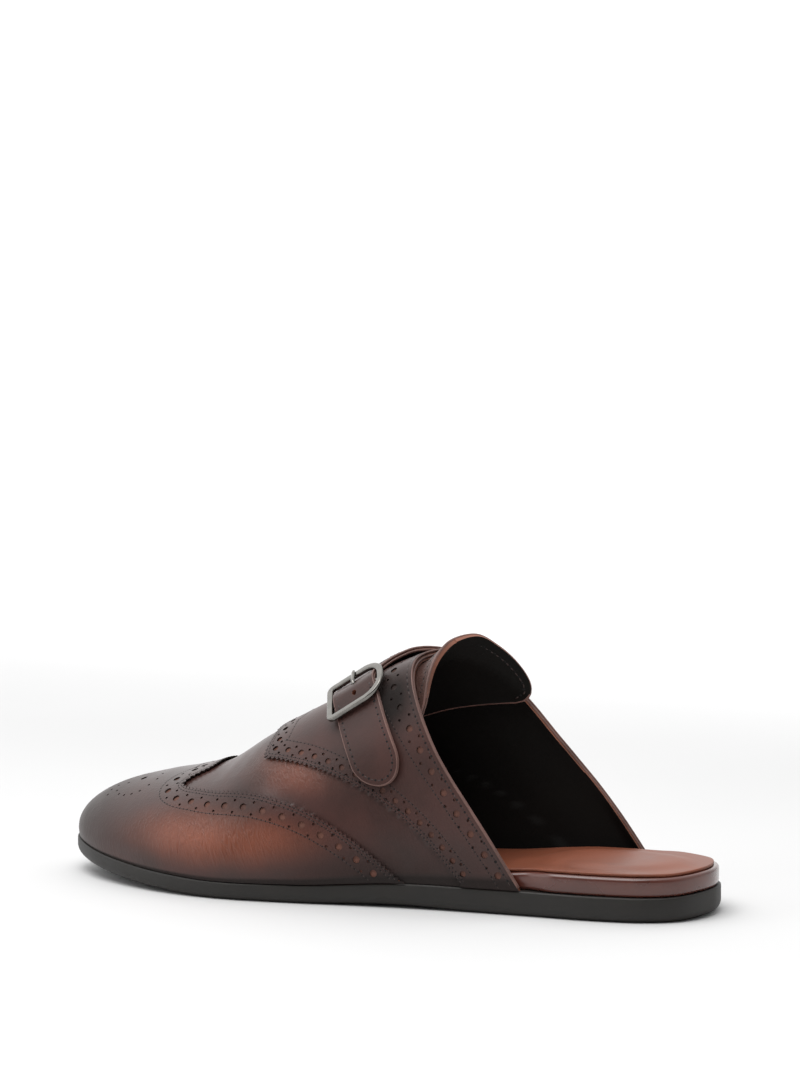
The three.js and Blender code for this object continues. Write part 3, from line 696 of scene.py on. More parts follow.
def stepped(places, vectors):
    """Places on the surface moved by vectors in millimetres."""
    along, across = places[..., 0], places[..., 1]
    step = 2 * NEAR
    forward = (upper_point(along + step, across) - upper_point(along - step, across)) / (2 * step)
    sideways = (upper_point(along, across + step) - upper_point(along, across - step)) / (2 * step)
    ff = (forward * forward).sum(-1)
    ss = (sideways * sideways).sum(-1)
    fs = (forward * sideways).sum(-1)
    vf = (forward * vectors).sum(-1)
    vs = (sideways * vectors).sum(-1)
    scale = ff * ss - fs * fs
    return places + np.stack([(vf * ss - vs * fs) / scale, (vs * ff - vf * fs) / scale], axis=-1)


def beside(places, distance, toward, parts=5):
    """A line on the surface moved sideways; toward is 1 to its left and -1 to its right."""
    distance = np.broadcast_to(distance, len(places))
    for _ in range(parts):
        points = upper_point(places[:, 0], places[:, 1])
        normals = upper_normal(places[:, 0], places[:, 1])
        side = toward * unit(np.cross(normals, np.gradient(points, axis=0)))
        places = stepped(places, side * (distance / parts)[:, None])
    return places


def row_beside(line, distance, toward):
    """A line beside an edge at a distance, without the loops that it makes round sharp corners."""
    distance = np.broadcast_to(distance, len(line))
    row = beside(line, distance, toward, ROW_PARTS)
    edge = upper_point(line[:, 0], line[:, 1])
    points = upper_point(row[:, 0], row[:, 1])
    room = np.array([np.linalg.norm(edge - point, axis=1).min() for point in points])
    return row[(room >= ROW_ROOM * distance) & (np.abs(row[:, 1]) < LINE_FOOT)]


def lengths_of(points):
    return np.concatenate([[0], np.cumsum(np.linalg.norm(np.diff(points, axis=0), axis=1))])


def spaced(places, pitch, start=0.5):
    """Places at an even pitch along a line on the surface."""
    lengths = lengths_of(upper_point(places[:, 0], places[:, 1]))
    count = max(int(round(lengths[-1] / pitch)), 1)
    at = (np.arange(count) + start) * lengths[-1] / count
    return np.column_stack([np.interp(at, lengths, places[:, k]) for k in (0, 1)])


def surface_axes(along, across):
    """How a place on the surface moves per unit of along and of across."""
    step = 2 * NEAR
    ahead, behind = np.minimum(along + step, 1), np.minimum(along + step, 1) - 2 * step
    right, left = np.minimum(across + step, 1), np.minimum(across + step, 1) - 2 * step
    forward = (upper_point(ahead, across) - upper_point(behind, across)) / (2 * step)
    sideways = (upper_point(along, right) - upper_point(along, left)) / (2 * step)
    return forward, sideways


def relief_normal(along, across, lift):
    """Normal of leather whose lift off the last changes from place to place."""
    step = 2 * NEAR
    rise_along = (lift(along + step, across) - lift(along - step, across)) / (2 * step)
    rise_across = (lift(along, across + step) - lift(along, across - step)) / (2 * step)
    forward, sideways = surface_axes(along, across)
    ff = (forward * forward).sum(-1)
    ss = (sideways * sideways).sum(-1)
    fs = (forward * sideways).sum(-1)
    scale = np.maximum(ff * ss - fs * fs, NEAR)
    slope = forward * ((rise_along * ss - rise_across * fs) / scale)[..., None]
    slope = slope + sideways * ((rise_across * ff - rise_along * fs) / scale)[..., None]
    return unit(upper_normal(along, across) - slope)


def placed(points):
    """Millimetres of the last as metres of the frame."""
    moved = np.array(points, float)
    moved[..., 1] -= SIDE_SHIFT
    return moved * MM


def score(bm, axis, cuts):
    """Cuts a mesh by planes across one axis."""
    normal = Vector((0, 0, 0))
    normal[axis] = 1
    for cut in cuts:
        everything = bm.verts[:] + bm.edges[:] + bm.faces[:]
        bmesh.ops.bisect_plane(
            bm,
            geom=everything,
            dist=CUT_REACH,
            plane_co=normal * cut,
            plane_no=normal,
        )


def cut_leather(outline, holes=()):
    """Flat leather cut to an outline, with holes, and scored so that it can bend."""
    bm = bmesh.new()
    for loop in (outline, *holes):
        corners = [bm.verts.new((a * FLAT, b * FLAT, 0)) for a, b in loop]
        for i, corner in enumerate(corners):
            bm.edges.new((corners[i - 1], corner))
    bmesh.ops.triangle_fill(bm, use_beauty=True, edges=bm.edges[:], normal=(0, 0, 1))
    bmesh.ops.reverse_faces(bm, faces=[face for face in bm.faces if face.normal.z < 0])
    low = np.min(outline, axis=0)
    high = np.max(outline, axis=0)
    along = 1 - (1 - np.linspace(SCORES_FROM, 1, SCORES_ALONG)) ** SCORES_BEND
    across = np.linspace(-1, 1, SCORES_ACROSS + 1)
    for axis, cuts in enumerate((along, across)):
        score(bm, axis, [cut * FLAT for cut in cuts if low[axis] < cut < high[axis]])
    return bm


def last_leather(bm, lift):
    """Bends flat leather over the last. Its flat places stay as a UV map."""
    uv = bm.loops.layers.uv.new("Place")
    for face in bm.faces:
        for loop in face.loops:
            loop[uv].uv = loop.vert.co.xy / FLAT
    flat = np.array([vert.co.xy for vert in bm.verts]) / FLAT
    points = placed(lifted(flat[:, 0], flat[:, 1], lift(flat[:, 0], flat[:, 1])))
    for vert, point in zip(bm.verts, points):
        vert.co = point
    bmesh.ops.remove_doubles(bm, verts=bm.verts[:], dist=MERGE_REACH * MM)
    bmesh.ops.dissolve_degenerate(bm, dist=SLIVER * MM, edges=bm.edges[:])


def piece_of(bm, name, materials, nodes=()):
    """Turns a bmesh into a piece that rides with the shoe."""
    mesh = bpy.data.meshes.new(name)
    bm.to_mesh(mesh)
    bm.free()
    mesh.polygons.foreach_set("use_smooth", [True] * len(mesh.polygons))
    for material in materials:
        mesh.materials.append(material)
    piece = bpy.data.objects.new(name, mesh)
    bpy.context.scene.collection.objects.link(piece)
    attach(piece, "root")
    if nodes:
        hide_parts(*nodes)
    return piece


def give_wall(piece, thickness, rim=1, back=0):
    """Gives a sheet its wall, inwards from its outer face, and makes the result its mesh."""
    wall = piece.modifiers.new("Wall", "SOLIDIFY")
    wall.thickness = thickness * MM
    wall.offset = -1
    wall.material_offset_rim = rim
    wall.material_offset = back
    depsgraph = bpy.context.evaluated_depsgraph_get()
    mesh = bpy.data.meshes.new_from_object(piece.evaluated_get(depsgraph))
    piece.modifiers.clear()
    piece.data = mesh


def smooth_leather(piece, lift):
    """Gives the faces of lasted leather the normals of its surface, and keeps its cut edges sharp."""
    mesh = piece.data
    places = np.empty(2 * len(mesh.loops))
    mesh.uv_layers["Place"].data.foreach_get("uv", places)
    places = np.round(places.reshape(-1, 2), PLACE_DIGITS)
    single, inverse = np.unique(places, axis=0, return_inverse=True)
    surface = relief_normal(single[:, 0], single[:, 1], lift)[inverse.reshape(-1)]
    own = np.empty(3 * len(mesh.polygons))
    mesh.polygons.foreach_get("normal", own)
    sizes = np.empty(len(mesh.polygons), int)
    mesh.polygons.foreach_get("loop_total", sizes)
    own = np.repeat(own.reshape(-1, 3), sizes, axis=0)
    facing = (own * surface).sum(-1)
    normals = np.where((facing > FACING)[:, None], surface, own)
    normals = np.where((facing < -FACING)[:, None], -surface, normals)
    mesh.normals_split_custom_set(normals.tolist())


def ring_of(places, radius, sides):
    """A round hole of a real radius at each place, as loops of places."""
    angles = np.arange(sides) * 2 * math.pi / sides
    normals = upper_normal(places[:, 0], places[:, 1])
    forward, _ = surface_axes(places[:, 0], places[:, 1])
    forward = unit(forward)
    sideways = np.cross(normals, forward)
    loops = []
    for angle in angles:
        vectors = radius * (math.cos(angle) * forward + math.sin(angle) * sideways)
        loops.append(stepped(places, vectors))
    return list(np.stack(loops, axis=1))


def pinked(line, toward):
    """A gimped edge: small teeth cut along a line on the surface."""
    corners = len(TOOTH_SHAPE)
    fine = spaced(line, TOOTH_PITCH / corners)
    depth = np.array(TOOTH_SHAPE)[np.arange(len(fine)) % corners] * TOOTH_DEPTH
    return beside(fine, depth, toward, 1)


def apart(holes, outline):
    """Drops holes that would run into an earlier one or into the leather's outline."""
    edge = upper_point(outline[:, 0], outline[:, 1])
    kept = []
    for place, radius in holes:
        middle = upper_point(*place)
        room = np.linalg.norm(edge - middle, axis=1).min() - radius
        gaps = [np.linalg.norm(middle - other) - radius - reach for _, reach, other in kept]
        if room > HOLE_MARGIN and all(gap > HOLE_GAP for gap in gaps):
            kept.append((place, radius, middle))
    return [(place, radius) for place, radius, _ in kept]


def punched(outline, *groups):
    """The loops of all holes that have room, from groups of places with their radius."""
    holes = [(place, radius) for places, radius in groups for place in places]
    loops = []
    kept = apart(holes, outline)
    for radius in sorted({radius for _, radius in kept}):
        places = np.array([place for place, reach in kept if reach == radius])
        loops += ring_of(places, radius, BIG_SIDES if radius > SMALL_HOLE else SMALL_SIDES)
    return loops


def edge_line(edge, start, end, count=260, name="along"):
    """An edge of the leather as places, from one place across to another."""
    across = np.linspace(start, end, count)
    return np.column_stack([curve(edge, "across", name, np.abs(across)), across])


def taper(across, top, base):
    """A distance from an edge that narrows from the ridge to the foot."""
    return top + (base - top) * np.abs(across)


def brogue_row(line, toward, top, base, reach, pitch):
    """Holes beside an edge: large ones on a line, with a pair of small ones between each two."""
    big = spaced(row_beside(line, taper(line[:, 1], top, base), toward), pitch)
    between = (big[1:] + big[:-1]) / 2
    points = upper_point(between[:, 0], between[:, 1])
    normals = upper_normal(between[:, 0], between[:, 1])
    side = unit(np.cross(normals, np.gradient(points, axis=0)))
    small = [stepped(between, side * share * reach) for share in (-1, 1)]
    return big, np.vstack(small)


def medallion():
    """Places of the toe's dots on both sides, and which of them are large holes."""
    dots = zip(MEDALLION["along"], MEDALLION["across"])
    places = [(along, across * side) for along, across in dots for side in (-1, 1)]
    return np.array(places), np.repeat(MEDALLION["large"] > 0, 2)


class Graph:
    """Adds nodes to a tree, each with its values and links by input name."""

    def __init__(self, tree):
        self.tree = tree

    def add(self, kind, settings=None, **inputs):
        node = self.tree.nodes.new(kind)
        for key, value in (settings or {}).items():
            setattr(node, key, value)
        for key, value in inputs.items():
            self.feed(node.inputs[key.replace("_", " ")], value)
        return node

    def feed(self, socket, value):
        if isinstance(value, bpy.types.NodeSocket):
            self.tree.links.new(value, socket)
        else:
            socket.default_value = value

    def math(self, operation, first, second=0.0, third=0.0):
        node = self.tree.nodes.new("ShaderNodeMath")
        node.operation = operation
        for socket, value in zip(node.inputs, (first, second, third)):
            self.feed(socket, value)
        return node.outputs[0]

    def mix(self, share, first, second):
        node = self.add("ShaderNodeMix", {"data_type": "RGBA", "clamp_factor": True})
        self.feed(node.inputs[0], share)
        self.feed(node.inputs[6], first)
        self.feed(node.inputs[7], second)
        return node.outputs[2]

    def spread(self, value, low, high, to_low=0.0, to_high=1.0):
        node = self.add("ShaderNodeMapRange", {"interpolation_type": "SMOOTHSTEP"})
        sockets = ("Value", "From Min", "From Max", "To Min", "To Max")
        for key, item in zip(sockets, (value, low, high, to_low, to_high)):
            self.feed(node.inputs[key], item)
        return node.outputs[0]

    def noise(self, place, scale, detail, roughness=0.5, distortion=0.0):
        node = self.add("ShaderNodeTexNoise", Vector=place, Scale=scale, Detail=detail)
        self.feed(node.inputs["Roughness"], roughness)
        self.feed(node.inputs["Distortion"], distortion)
        return node.outputs["Fac"]


def new_group(name, inputs, outputs):
    """A shader node group with named sockets, ready to be filled."""
    group = bpy.data.node_groups.new(name, "ShaderNodeTree")
    for label, kind, value in inputs:
        socket = group.interface.new_socket(label, in_out="INPUT", socket_type=kind)
        if value is not None:
            socket.default_value = value
    for label, kind in outputs:
        group.interface.new_socket(label, in_out="OUTPUT", socket_type=kind)
    graph = Graph(group)
    return group, graph, graph.add("NodeGroupInput"), graph.add("NodeGroupOutput")


def grain_group():
    """Fine pores, soft wrinkles and a slow change of tone, as real calf has."""
    group, graph, given, result = new_group(
        "Calf grain",
        [
            ("Vector", "NodeSocketVector", None),
            ("Pores", "NodeSocketFloat", 1.0),
            ("Wrinkles", "NodeSocketFloat", 1.0),
        ],
        [("Height", "NodeSocketFloat"), ("Tone", "NodeSocketFloat")],
    )
    place = given.outputs["Vector"]
    pores = graph.add("ShaderNodeTexVoronoi", {"feature": "SMOOTH_F1"}, Vector=place, Scale=1100.0)
    graph.feed(pores.inputs["Smoothness"], 0.6)
    fine = graph.noise(place, scale=620.0, detail=4.0, roughness=0.6)
    wrinkle = graph.noise(place, scale=150.0, detail=3.0, distortion=0.6)
    tone = graph.noise(place, scale=28.0, detail=5.0, roughness=0.55)
    pored = graph.math("MULTIPLY", pores.outputs["Distance"], given.outputs["Pores"])
    height = graph.math("MULTIPLY_ADD", fine, 0.35, pored)
    wrinkled = graph.math("MULTIPLY", wrinkle, given.outputs["Wrinkles"])
    graph.feed(result.inputs["Height"], graph.math("ADD", height, wrinkled))
    graph.feed(result.inputs["Tone"], graph.spread(tone, 0.32, 0.7))
    return group


def patch_group():
    """A soft oval patch round a point, for burnished and worn places, and for painted shade and sheen."""
    group, graph, given, result = new_group(
        "Tone and painted light patch",
        [
            ("Vector", "NodeSocketVector", None),
            ("Centre", "NodeSocketVector", (0, 0, 0)),
            ("Reach", "NodeSocketVector", (0.02, 0.02, 0.02)),
        ],
        [("Mask", "NodeSocketFloat")],
    )
    away = graph.add("ShaderNodeVectorMath", {"operation": "SUBTRACT"})
    graph.feed(away.inputs[0], given.outputs["Vector"])
    graph.feed(away.inputs[1], given.outputs["Centre"])
    share = graph.add("ShaderNodeVectorMath", {"operation": "DIVIDE"})
    graph.feed(share.inputs[0], away.outputs[0])
    graph.feed(share.inputs[1], given.outputs["Reach"])
    length = graph.add("ShaderNodeVectorMath", {"operation": "LENGTH"})
    graph.feed(length.inputs[0], share.outputs[0])
    graph.feed(result.inputs["Mask"], graph.spread(length.outputs["Value"], 0.0, 1.0, 1.0, 0.0))
    return group


def crease_group():
    """Fine slanting creases, kept to the places that a mask gives."""
    group, graph, given, result = new_group(
        "Flex creases",
        [
            ("Vector", "NodeSocketVector", None),
            ("Turn", "NodeSocketVector", (0, 0, 0)),
            ("Mask", "NodeSocketFloat", 1.0),
        ],
        [("Height", "NodeSocketFloat")],
    )
    turned = graph.add("ShaderNodeMapping", {"vector_type": "TEXTURE"})
    graph.feed(turned.inputs["Vector"], given.outputs["Vector"])
    graph.feed(turned.inputs["Rotation"], given.outputs["Turn"])
    graph.feed(turned.inputs["Scale"], CREASE_GRAIN)
    noise = graph.noise(turned.outputs[0], scale=1.0, detail=2.0, roughness=0.45, distortion=0.5)
    ridged = graph.math("ABSOLUTE", graph.math("SUBTRACT", noise, 0.5))
    graph.feed(result.inputs["Height"], graph.math("MULTIPLY", ridged, given.outputs["Mask"]))
    return group


def placed_group(graph, group, **inputs):
    node = graph.add("ShaderNodeGroup", {"node_tree": group}, **inputs)
    return node.outputs


def new_material(name):
    material = bpy.data.materials.new(name)
    material.use_nodes = True
    graph = Graph(material.node_tree)
    shader = material.node_tree.nodes["Principled BSDF"]
    coordinates = graph.add("ShaderNodeTexCoord").outputs["Object"]
    return material, graph, shader, coordinates


def bump(graph, shader, height, distance, strength):
    node = graph.add("ShaderNodeBump", Strength=strength, Distance=distance * MM, Height=height)
    graph.feed(shader.inputs["Normal"], node.outputs["Normal"])


def patch(centre, reach, tint, strength):
    """A soft patch of another tone on the calf: centre and reach in metres, tone, and how strong."""
    return {"centre": centre, "reach": reach, "tint": tint, "strength": strength}


def patch_mask(graph, place, spot):
    sockets = placed_group(graph, GROUPS["patch"], Vector=place, Centre=spot["centre"], Reach=spot["reach"])
    return sockets["Mask"]


def mixed(first, second, share):
    return tuple(a + (b - a) * share for a, b in zip(first, second))


def calf(name, colours, patches, roughness, creases):
    """Burnished calf: dark at the toe, painted shade at its foot and in shaded patches, warm patches (worn
    on the cap, painted sheen on the vamp), pores, creases and a soft sheen.
    """
    material, graph, shader, place = new_material(name)
    grain = placed_group(graph, GROUPS["grain"], Vector=place, Pores=0.5, Wrinkles=0.9)
    tone = grain["Tone"]
    colour = graph.mix(tone, colours["deep"], colours["base"])
    edges = graph.add("ShaderNodeUVMap", {"uv_map": "Place"}).outputs[0]
    across = graph.add("ShaderNodeSeparateXYZ", Vector=edges).outputs["Y"]
    shaded_and_dulled = graph.spread(graph.math("ABSOLUTE", across), *FOOT_PAINTED_SHADE, 0.0, FOOT_SHADE_STRENGTH)
    # The calf darkens to painted shade along its foot, where it meets the sole; the same mask dulls its
    # sheen.
    colour = graph.mix(shaded_and_dulled, colour, colours["shade"])
    crease_mask = CREASE_FLOOR
    for spot in patches:
        mask = patch_mask(graph, place, spot)
        strength = graph.math("MULTIPLY_ADD", tone, MOTTLE, spot["strength"] - MOTTLE)
        mottled = graph.math("MULTIPLY", mask, strength)
        colour = graph.mix(mottled, colour, colours[spot["tint"]])
        if spot["tint"] in DULLING:
            lost = graph.math("MULTIPLY", mottled, DULLING[spot["tint"]])
            shaded_and_dulled = graph.math("MAXIMUM", shaded_and_dulled, lost)
        else:
            crease_mask = graph.math("MAXIMUM", crease_mask, mask)
    graph.feed(shader.inputs["Base Color"], colour)
    graph.feed(shader.inputs["Coat Weight"], graph.spread(shaded_and_dulled, 0.0, 1.0, CALF_COAT, 0.0))
    toned = graph.math("MULTIPLY_ADD", tone, TONE_ROUGHNESS, roughness)
    graph.feed(shader.inputs["Roughness"], graph.math("MULTIPLY_ADD", shaded_and_dulled, DULL_ROUGHNESS, toned))
    lines = placed_group(graph, GROUPS["creases"], Vector=place, Turn=CREASE_TURN, Mask=crease_mask)
    height = graph.math("MULTIPLY_ADD", lines["Height"], creases, grain["Height"])
    bump(graph, shader, height, distance=0.12, strength=0.55)
    shader.inputs["Coat Roughness"].default_value = CALF_COAT_ROUGHNESS
    shader.inputs["Specular IOR Level"].default_value = CALF_SHINE
    return material


def plain_leather(name, colour, dark, roughness, shine=0.4, pores=0.6, depth=0.1, coat=0.0, shade=None):
    """Lining, edge and wrapping leathers, mottled by a share of black and shaded where asked."""
    material, graph, shader, place = new_material(name)
    grain = placed_group(graph, GROUPS["grain"], Vector=place, Pores=pores, Wrinkles=0.5)
    deep = mixed(colour, BLACK, dark)
    tone = graph.mix(grain["Tone"], deep, tuple(colour))
    # Painted shade, where a patch is given.
    if shade:
        share = graph.spread(patch_mask(graph, place, shade), 0.0, 0.6)
        tone = graph.mix(share, tone, mixed(deep, BLACK, 0.8))
    graph.feed(shader.inputs["Base Color"], tone)
    graph.feed(shader.inputs["Roughness"], graph.math("MULTIPLY_ADD", grain["Tone"], 0.1, roughness))
    bump(graph, shader, grain["Height"], distance=depth, strength=0.6)
    shader.inputs["Specular IOR Level"].default_value = shine
    shader.inputs["Coat Weight"].default_value = coat
    shader.inputs["Coat Roughness"].default_value = 0.2
    return material


def sole_rubber(name, colour, dark):
    """Matt rubber with moulding mottle and light scuffs."""
    material, graph, shader, place = new_material(name)
    speck = graph.noise(place, scale=900.0, detail=3.0, roughness=0.7)
    cloud = graph.noise(place, scale=60.0, detail=4.0, roughness=0.6)
    share = graph.spread(cloud, 0.35, 0.7)
    tone = graph.mix(share, mixed(colour, BLACK, dark), tuple(colour))
    graph.feed(shader.inputs["Base Color"], tone)
    graph.feed(shader.inputs["Roughness"], graph.math("MULTIPLY_ADD", share, 0.12, 0.5))
    bump(graph, shader, speck, distance=0.05, strength=0.5)
    return material


def polished_metal(name, colour, dark):
    """Gunmetal with a polished face and hairline scratches."""
    material, graph, shader, place = new_material(name)
    stretched = graph.add("ShaderNodeMapping", Vector=place, Scale=(300.0, 2400.0, 300.0))
    hair = graph.noise(stretched.outputs[0], scale=1.0, detail=4.0, roughness=0.6)
    cloud = graph.noise(place, scale=240.0, detail=3.0)
    share = graph.spread(cloud, 0.3, 0.75)
    tone = graph.mix(share, mixed(colour, BLACK, dark), tuple(colour))
    graph.feed(shader.inputs["Base Color"], tone)
    shader.inputs["Metallic"].default_value = 1.0
    graph.feed(shader.inputs["Roughness"], graph.math("MULTIPLY_ADD", hair, 0.1, 0.1))
    bump(graph, shader, hair, distance=0.01, strength=0.3)
    return material


def waxed_thread(name, colour, dark, roughness):
    """Twisted waxed thread."""
    material, graph, shader, place = new_material(name)
    fibre = graph.noise(place, scale=2600.0, detail=2.0)
    tone = graph.mix(fibre, mixed(colour, BLACK, dark), tuple(colour))
    graph.feed(shader.inputs["Base Color"], tone)
    shader.inputs["Roughness"].default_value = roughness
    bump(graph, shader, fibre, distance=0.04, strength=0.5)
    return material


def colour_property(label, text, value):
    return FloatVectorProperty(
        name=label,
        description=text,
        subtype="COLOR",
        size=4,
        min=0,
        max=1,
        default=value,
    )


def length_property(label, text, value):
    return FloatProperty(
        name=label,
        description=text,
        default=value * MM,
        min=0,
        unit="LENGTH",
        subtype="DISTANCE",
    )


def power_property(label, text, value):
    return FloatProperty(name=label, description=text, default=value, min=0, unit="POWER")


def share_property(label, text, value):
    return FloatProperty(name=label, description=text, default=value, min=0)


class SlipperColours(bpy.types.PropertyGroup):
    """Colours of the slipper's leathers, sole and metal."""

    calf: colour_property("Calf", "Main tone of the upper", (0.066, 0.024, 0.019, 1))
    calf_deep: colour_property("Deep calf", "Tone where it is burnished dark", (0.038, 0.018, 0.015, 1))
    # The warm tone is worn leather on the cap, and painted sheen on the vamp's outer side.
    calf_warm: colour_property("Warm calf", "Tone where it is worn warm", (0.27, 0.08, 0.042, 1))
    calf_grey: colour_property("Toe calf", "Tone of the burnished toe", (0.02, 0.017, 0.0155, 1))
    calf_shade: colour_property("Shaded calf", "Tone low and under the strap", (0.011, 0.007, 0.006, 1))
    raw_edge: colour_property("Cut edge", "Cut edges of the leather", (0.30, 0.115, 0.07, 1))
    bead: colour_property("Bead", "Beads of the strap, tongue and opening", (0.22, 0.12, 0.1, 1))
    flesh: colour_property("Undyed leather", "Leather in the brogue holes", (0.17, 0.07, 0.048, 1))
    gimped: colour_property("Gimped edge", "Toothed edges and hole rims", (0.028, 0.015, 0.012, 1))
    lining: colour_property("Lining", "Inside of the upper", (0.006, 0.005, 0.0042, 1))
    tongue: colour_property("Tongue", "Outer side of the tongue", (0.085, 0.04, 0.031, 1))
    insole: colour_property("Insole", "Top of the insole", (0.24, 0.072, 0.036, 1))
    wrap: colour_property("Footbed wrap", "Leather round the footbed", (0.12, 0.032, 0.021, 1))
    rubber: colour_property("Rubber", "Outsole", (0.016, 0.0135, 0.011, 1))
    metal: colour_property("Metal", "Buckle", (0.23, 0.22, 0.205, 1))
    thread: colour_property("Thread", "Seams", (0.034, 0.016, 0.013, 1))
    # The needle holes are dark discs: painted shade for the holes between stitches.
    needle_hole: colour_property("Needle hole", "Holes between stitches", (0.004, 0.003, 0.003, 1))


class SlipperSizes(bpy.types.PropertyGroup):
    """Sizes of the slipper's visible detail."""

    stitch_pitch: length_property("Stitch pitch", "Stitch to stitch in the fine seams", 2.1)
    coarse_pitch: length_property("Coarse pitch", "Stitch to stitch along the strap and opening", 3.1)
    stitch_length: length_property("Stitch length", "Length of one thread on the surface", 1.35)
    thread_width: length_property("Thread width", "Thickness of the thread", 0.5)
    needle_hole: length_property("Needle hole", "Width of the dark hole between two stitches", 0.95)
    brogue_pitch: length_property("Brogue pitch", "From one large hole to the next", 9.4)
    bead_width: length_property("Bead width", "Thickness of the beads along the opening", 1.1)
    heel_pad_rise: length_property("Heel pad rise", "How far the soft heel pad stands up", 1.3)


class SlipperStage(bpy.types.PropertyGroup):
    """Floor, light and camera."""

    floor: colour_property("Floor", "Colour of the floor", (0.7, 0.7, 0.7, 1))
    key_power: power_property("Key power", "Power of the main soft light", 12.5)
    fill_power: power_property("Fill power", "Power of the soft side light", 6)
    sweep: share_property("Sweep", "Glow of the floor behind the shoe", 0.95)
    sky: share_property("Sky", "Strength of the pale surroundings", 1.6)
    horizon: share_property("Horizon", "Share of the sky's light low down", 0.75)
    heel_side: share_property("Heel side", "Share of the sky past the heel", 0.45)
    camera_side: share_property("Camera side", "Share of the sky behind the camera", 0.12)


def property_names(group):
    return [name for name in group.bl_rna.properties.keys() if name not in ("rna_type", "name")]


def sizes_mm():
    """The chosen sizes in millimetres, by name."""
    chosen = bpy.context.scene.slipper_sizes
    return {name: getattr(chosen, name) / MM for name in property_names(chosen)}


def calf_materials(colours, bare_shade):
    """The burnished leathers of the upper, each with its own patches of tone, of painted shade and of
    painted sheen.
    """
    tones = {
        "base": tuple(colours.calf),
        "deep": tuple(colours.calf_deep),
        "warm": tuple(colours.calf_warm),
        "grey": tuple(colours.calf_grey),
        "shade": tuple(colours.calf_shade),
    }
    toe = patch((0.15, 0.0, 0.03), (0.075, 0.09, 0.06), "grey", 0.95)
    cap_side = patch((0.062, 0.045, 0.026), (0.068, 0.04, 0.017), "warm", 1.05)
    cap_inner = patch((0.05, -0.045, 0.026), (0.068, 0.04, 0.017), "warm", 0.9)
    # A warm tone painted as sheen on the vamp's outer side.
    vamp_painted_sheen = patch((0.03, 0.03, 0.055), (0.035, 0.03, 0.014), "warm", 0.55)
    # Painted shade low on the upper, towards the sole.
    low_shade = patch((-0.02, 0.045, 0.01), (0.085, 0.05, 0.03), "shade", 0.9)
    cap_patches = (cap_side, cap_inner, toe, low_shade)
    MATERIALS.update(
        vamp=calf("Vamp calf", tones, (vamp_painted_sheen, low_shade), roughness=0.36, creases=14.0),
        cap=calf("Cap calf", tones, cap_patches, roughness=0.34, creases=20.0),
        quarter=calf("Quarter calf", tones, (bare_shade, low_shade), roughness=0.38, creases=6.0),
        strap=calf("Strap calf", tones, (), roughness=0.36, creases=3.0),
    )


def plain_materials(colours, bare_shade):
    """The tongue, linings, edges, footbed and insole."""
    wrinkled = {"pores": 1.0, "depth": 0.3}
    waxed = {"shine": 0.5, "pores": 0.4, "depth": 0.06, "coat": 0.6}
    MATERIALS.update(
        tongue=plain_leather("Tongue leather", colours.tongue, dark=0.4, roughness=0.4, **wrinkled),
        edge=plain_leather("Cut leather edge", colours.raw_edge, dark=0.5, roughness=0.5),
        lining=plain_leather("Lining leather", colours.lining, dark=0.3, roughness=0.7, shine=0.15),
        insole=plain_leather("Insole leather", colours.insole, dark=0.25, roughness=0.42),
        wrap=plain_leather("Wrap leather", colours.wrap, dark=0.4, roughness=0.24, **waxed),
        bead=plain_leather("Rolled leather bead", colours.bead, dark=0.5, roughness=0.4),
        gimped=plain_leather("Gimped edge", colours.gimped, dark=0.5, roughness=0.6),
        flesh=plain_leather("Undyed leather", colours.flesh, dark=0.5, roughness=0.6, shade=bare_shade),
    )


def make_materials():
    colours = bpy.context.scene.slipper_colours
    GROUPS.update(grain=grain_group(), patch=patch_group(), creases=crease_group())
    # Painted shade under the strap, on the quarter and on the undyed leather in the holes beside it.
    bare_shade = patch(tuple(placed(lifted(*BARE_PLACE))), (0.021, 0.024, 0.028), "shade", 1.3)
    calf_materials(colours, bare_shade)
    plain_materials(colours, bare_shade)
    MATERIALS.update(
        rubber=sole_rubber("Sole rubber", colours.rubber, dark=0.35),
        metal=polished_metal("Gunmetal", colours.metal, dark=0.2),
        thread=waxed_thread("Waxed thread", colours.thread, dark=0.5, roughness=0.45),
        puncture=waxed_thread("Needle hole", colours.needle_hole, dark=0.5, roughness=0.9),
    )


def stitched(line, lift, coarse=False):
    """Notes a seam: places along a line, how far off the last it lies, and how coarse it is."""
    chosen = sizes_mm()
    scale = chosen["coarse_pitch"] / chosen["stitch_pitch"] if coarse else 1.0
    SEWING.append((spaced(line, chosen["stitch_pitch"] * scale), lift, scale))


def seam_frames(places, lift):
    """Where each stitch lies, with its direction, side and normal."""
    heights = lift(places[:, 0], places[:, 1]) if callable(lift) else np.full(len(places), lift)
    points = lifted(places[:, 0], places[:, 1], heights)
    normals = upper_normal(places[:, 0], places[:, 1])
    along = unit(np.gradient(points, axis=0))
    side = unit(np.cross(normals, along))
    return placed(points), along, side, np.cross(along, side)


def add_beads(whole, frames, size, sink):
    """Adds a small rounded shape at each place of a seam, a few at a time."""
    shape = Matrix.Diagonal((*[value * MM / 2 for value in size], 1))
    spots = list(zip(*frames))
    for first in range(0, len(spots), STITCHES_AT_ONCE):
        bm = bmesh.new()
        for point, along, side, normal in spots[first : first + STITCHES_AT_ONCE]:
            turn = Matrix((along, side, normal)).transposed().to_4x4()
            place = Matrix.Translation(Vector(point) - Vector(normal) * sink * MM)
            matrix = place @ turn @ shape
            bmesh.ops.create_uvsphere(bm, u_segments=6, v_segments=4, radius=1, matrix=matrix)
        few = bpy.data.meshes.new("few")
        bm.to_mesh(few)
        bm.free()
        whole.from_mesh(few)
        bpy.data.meshes.remove(few)


def between(frames):
    """The places half way between one stitch and the next."""
    return tuple((values[1:] + values[:-1]) / 2 for values in frames)


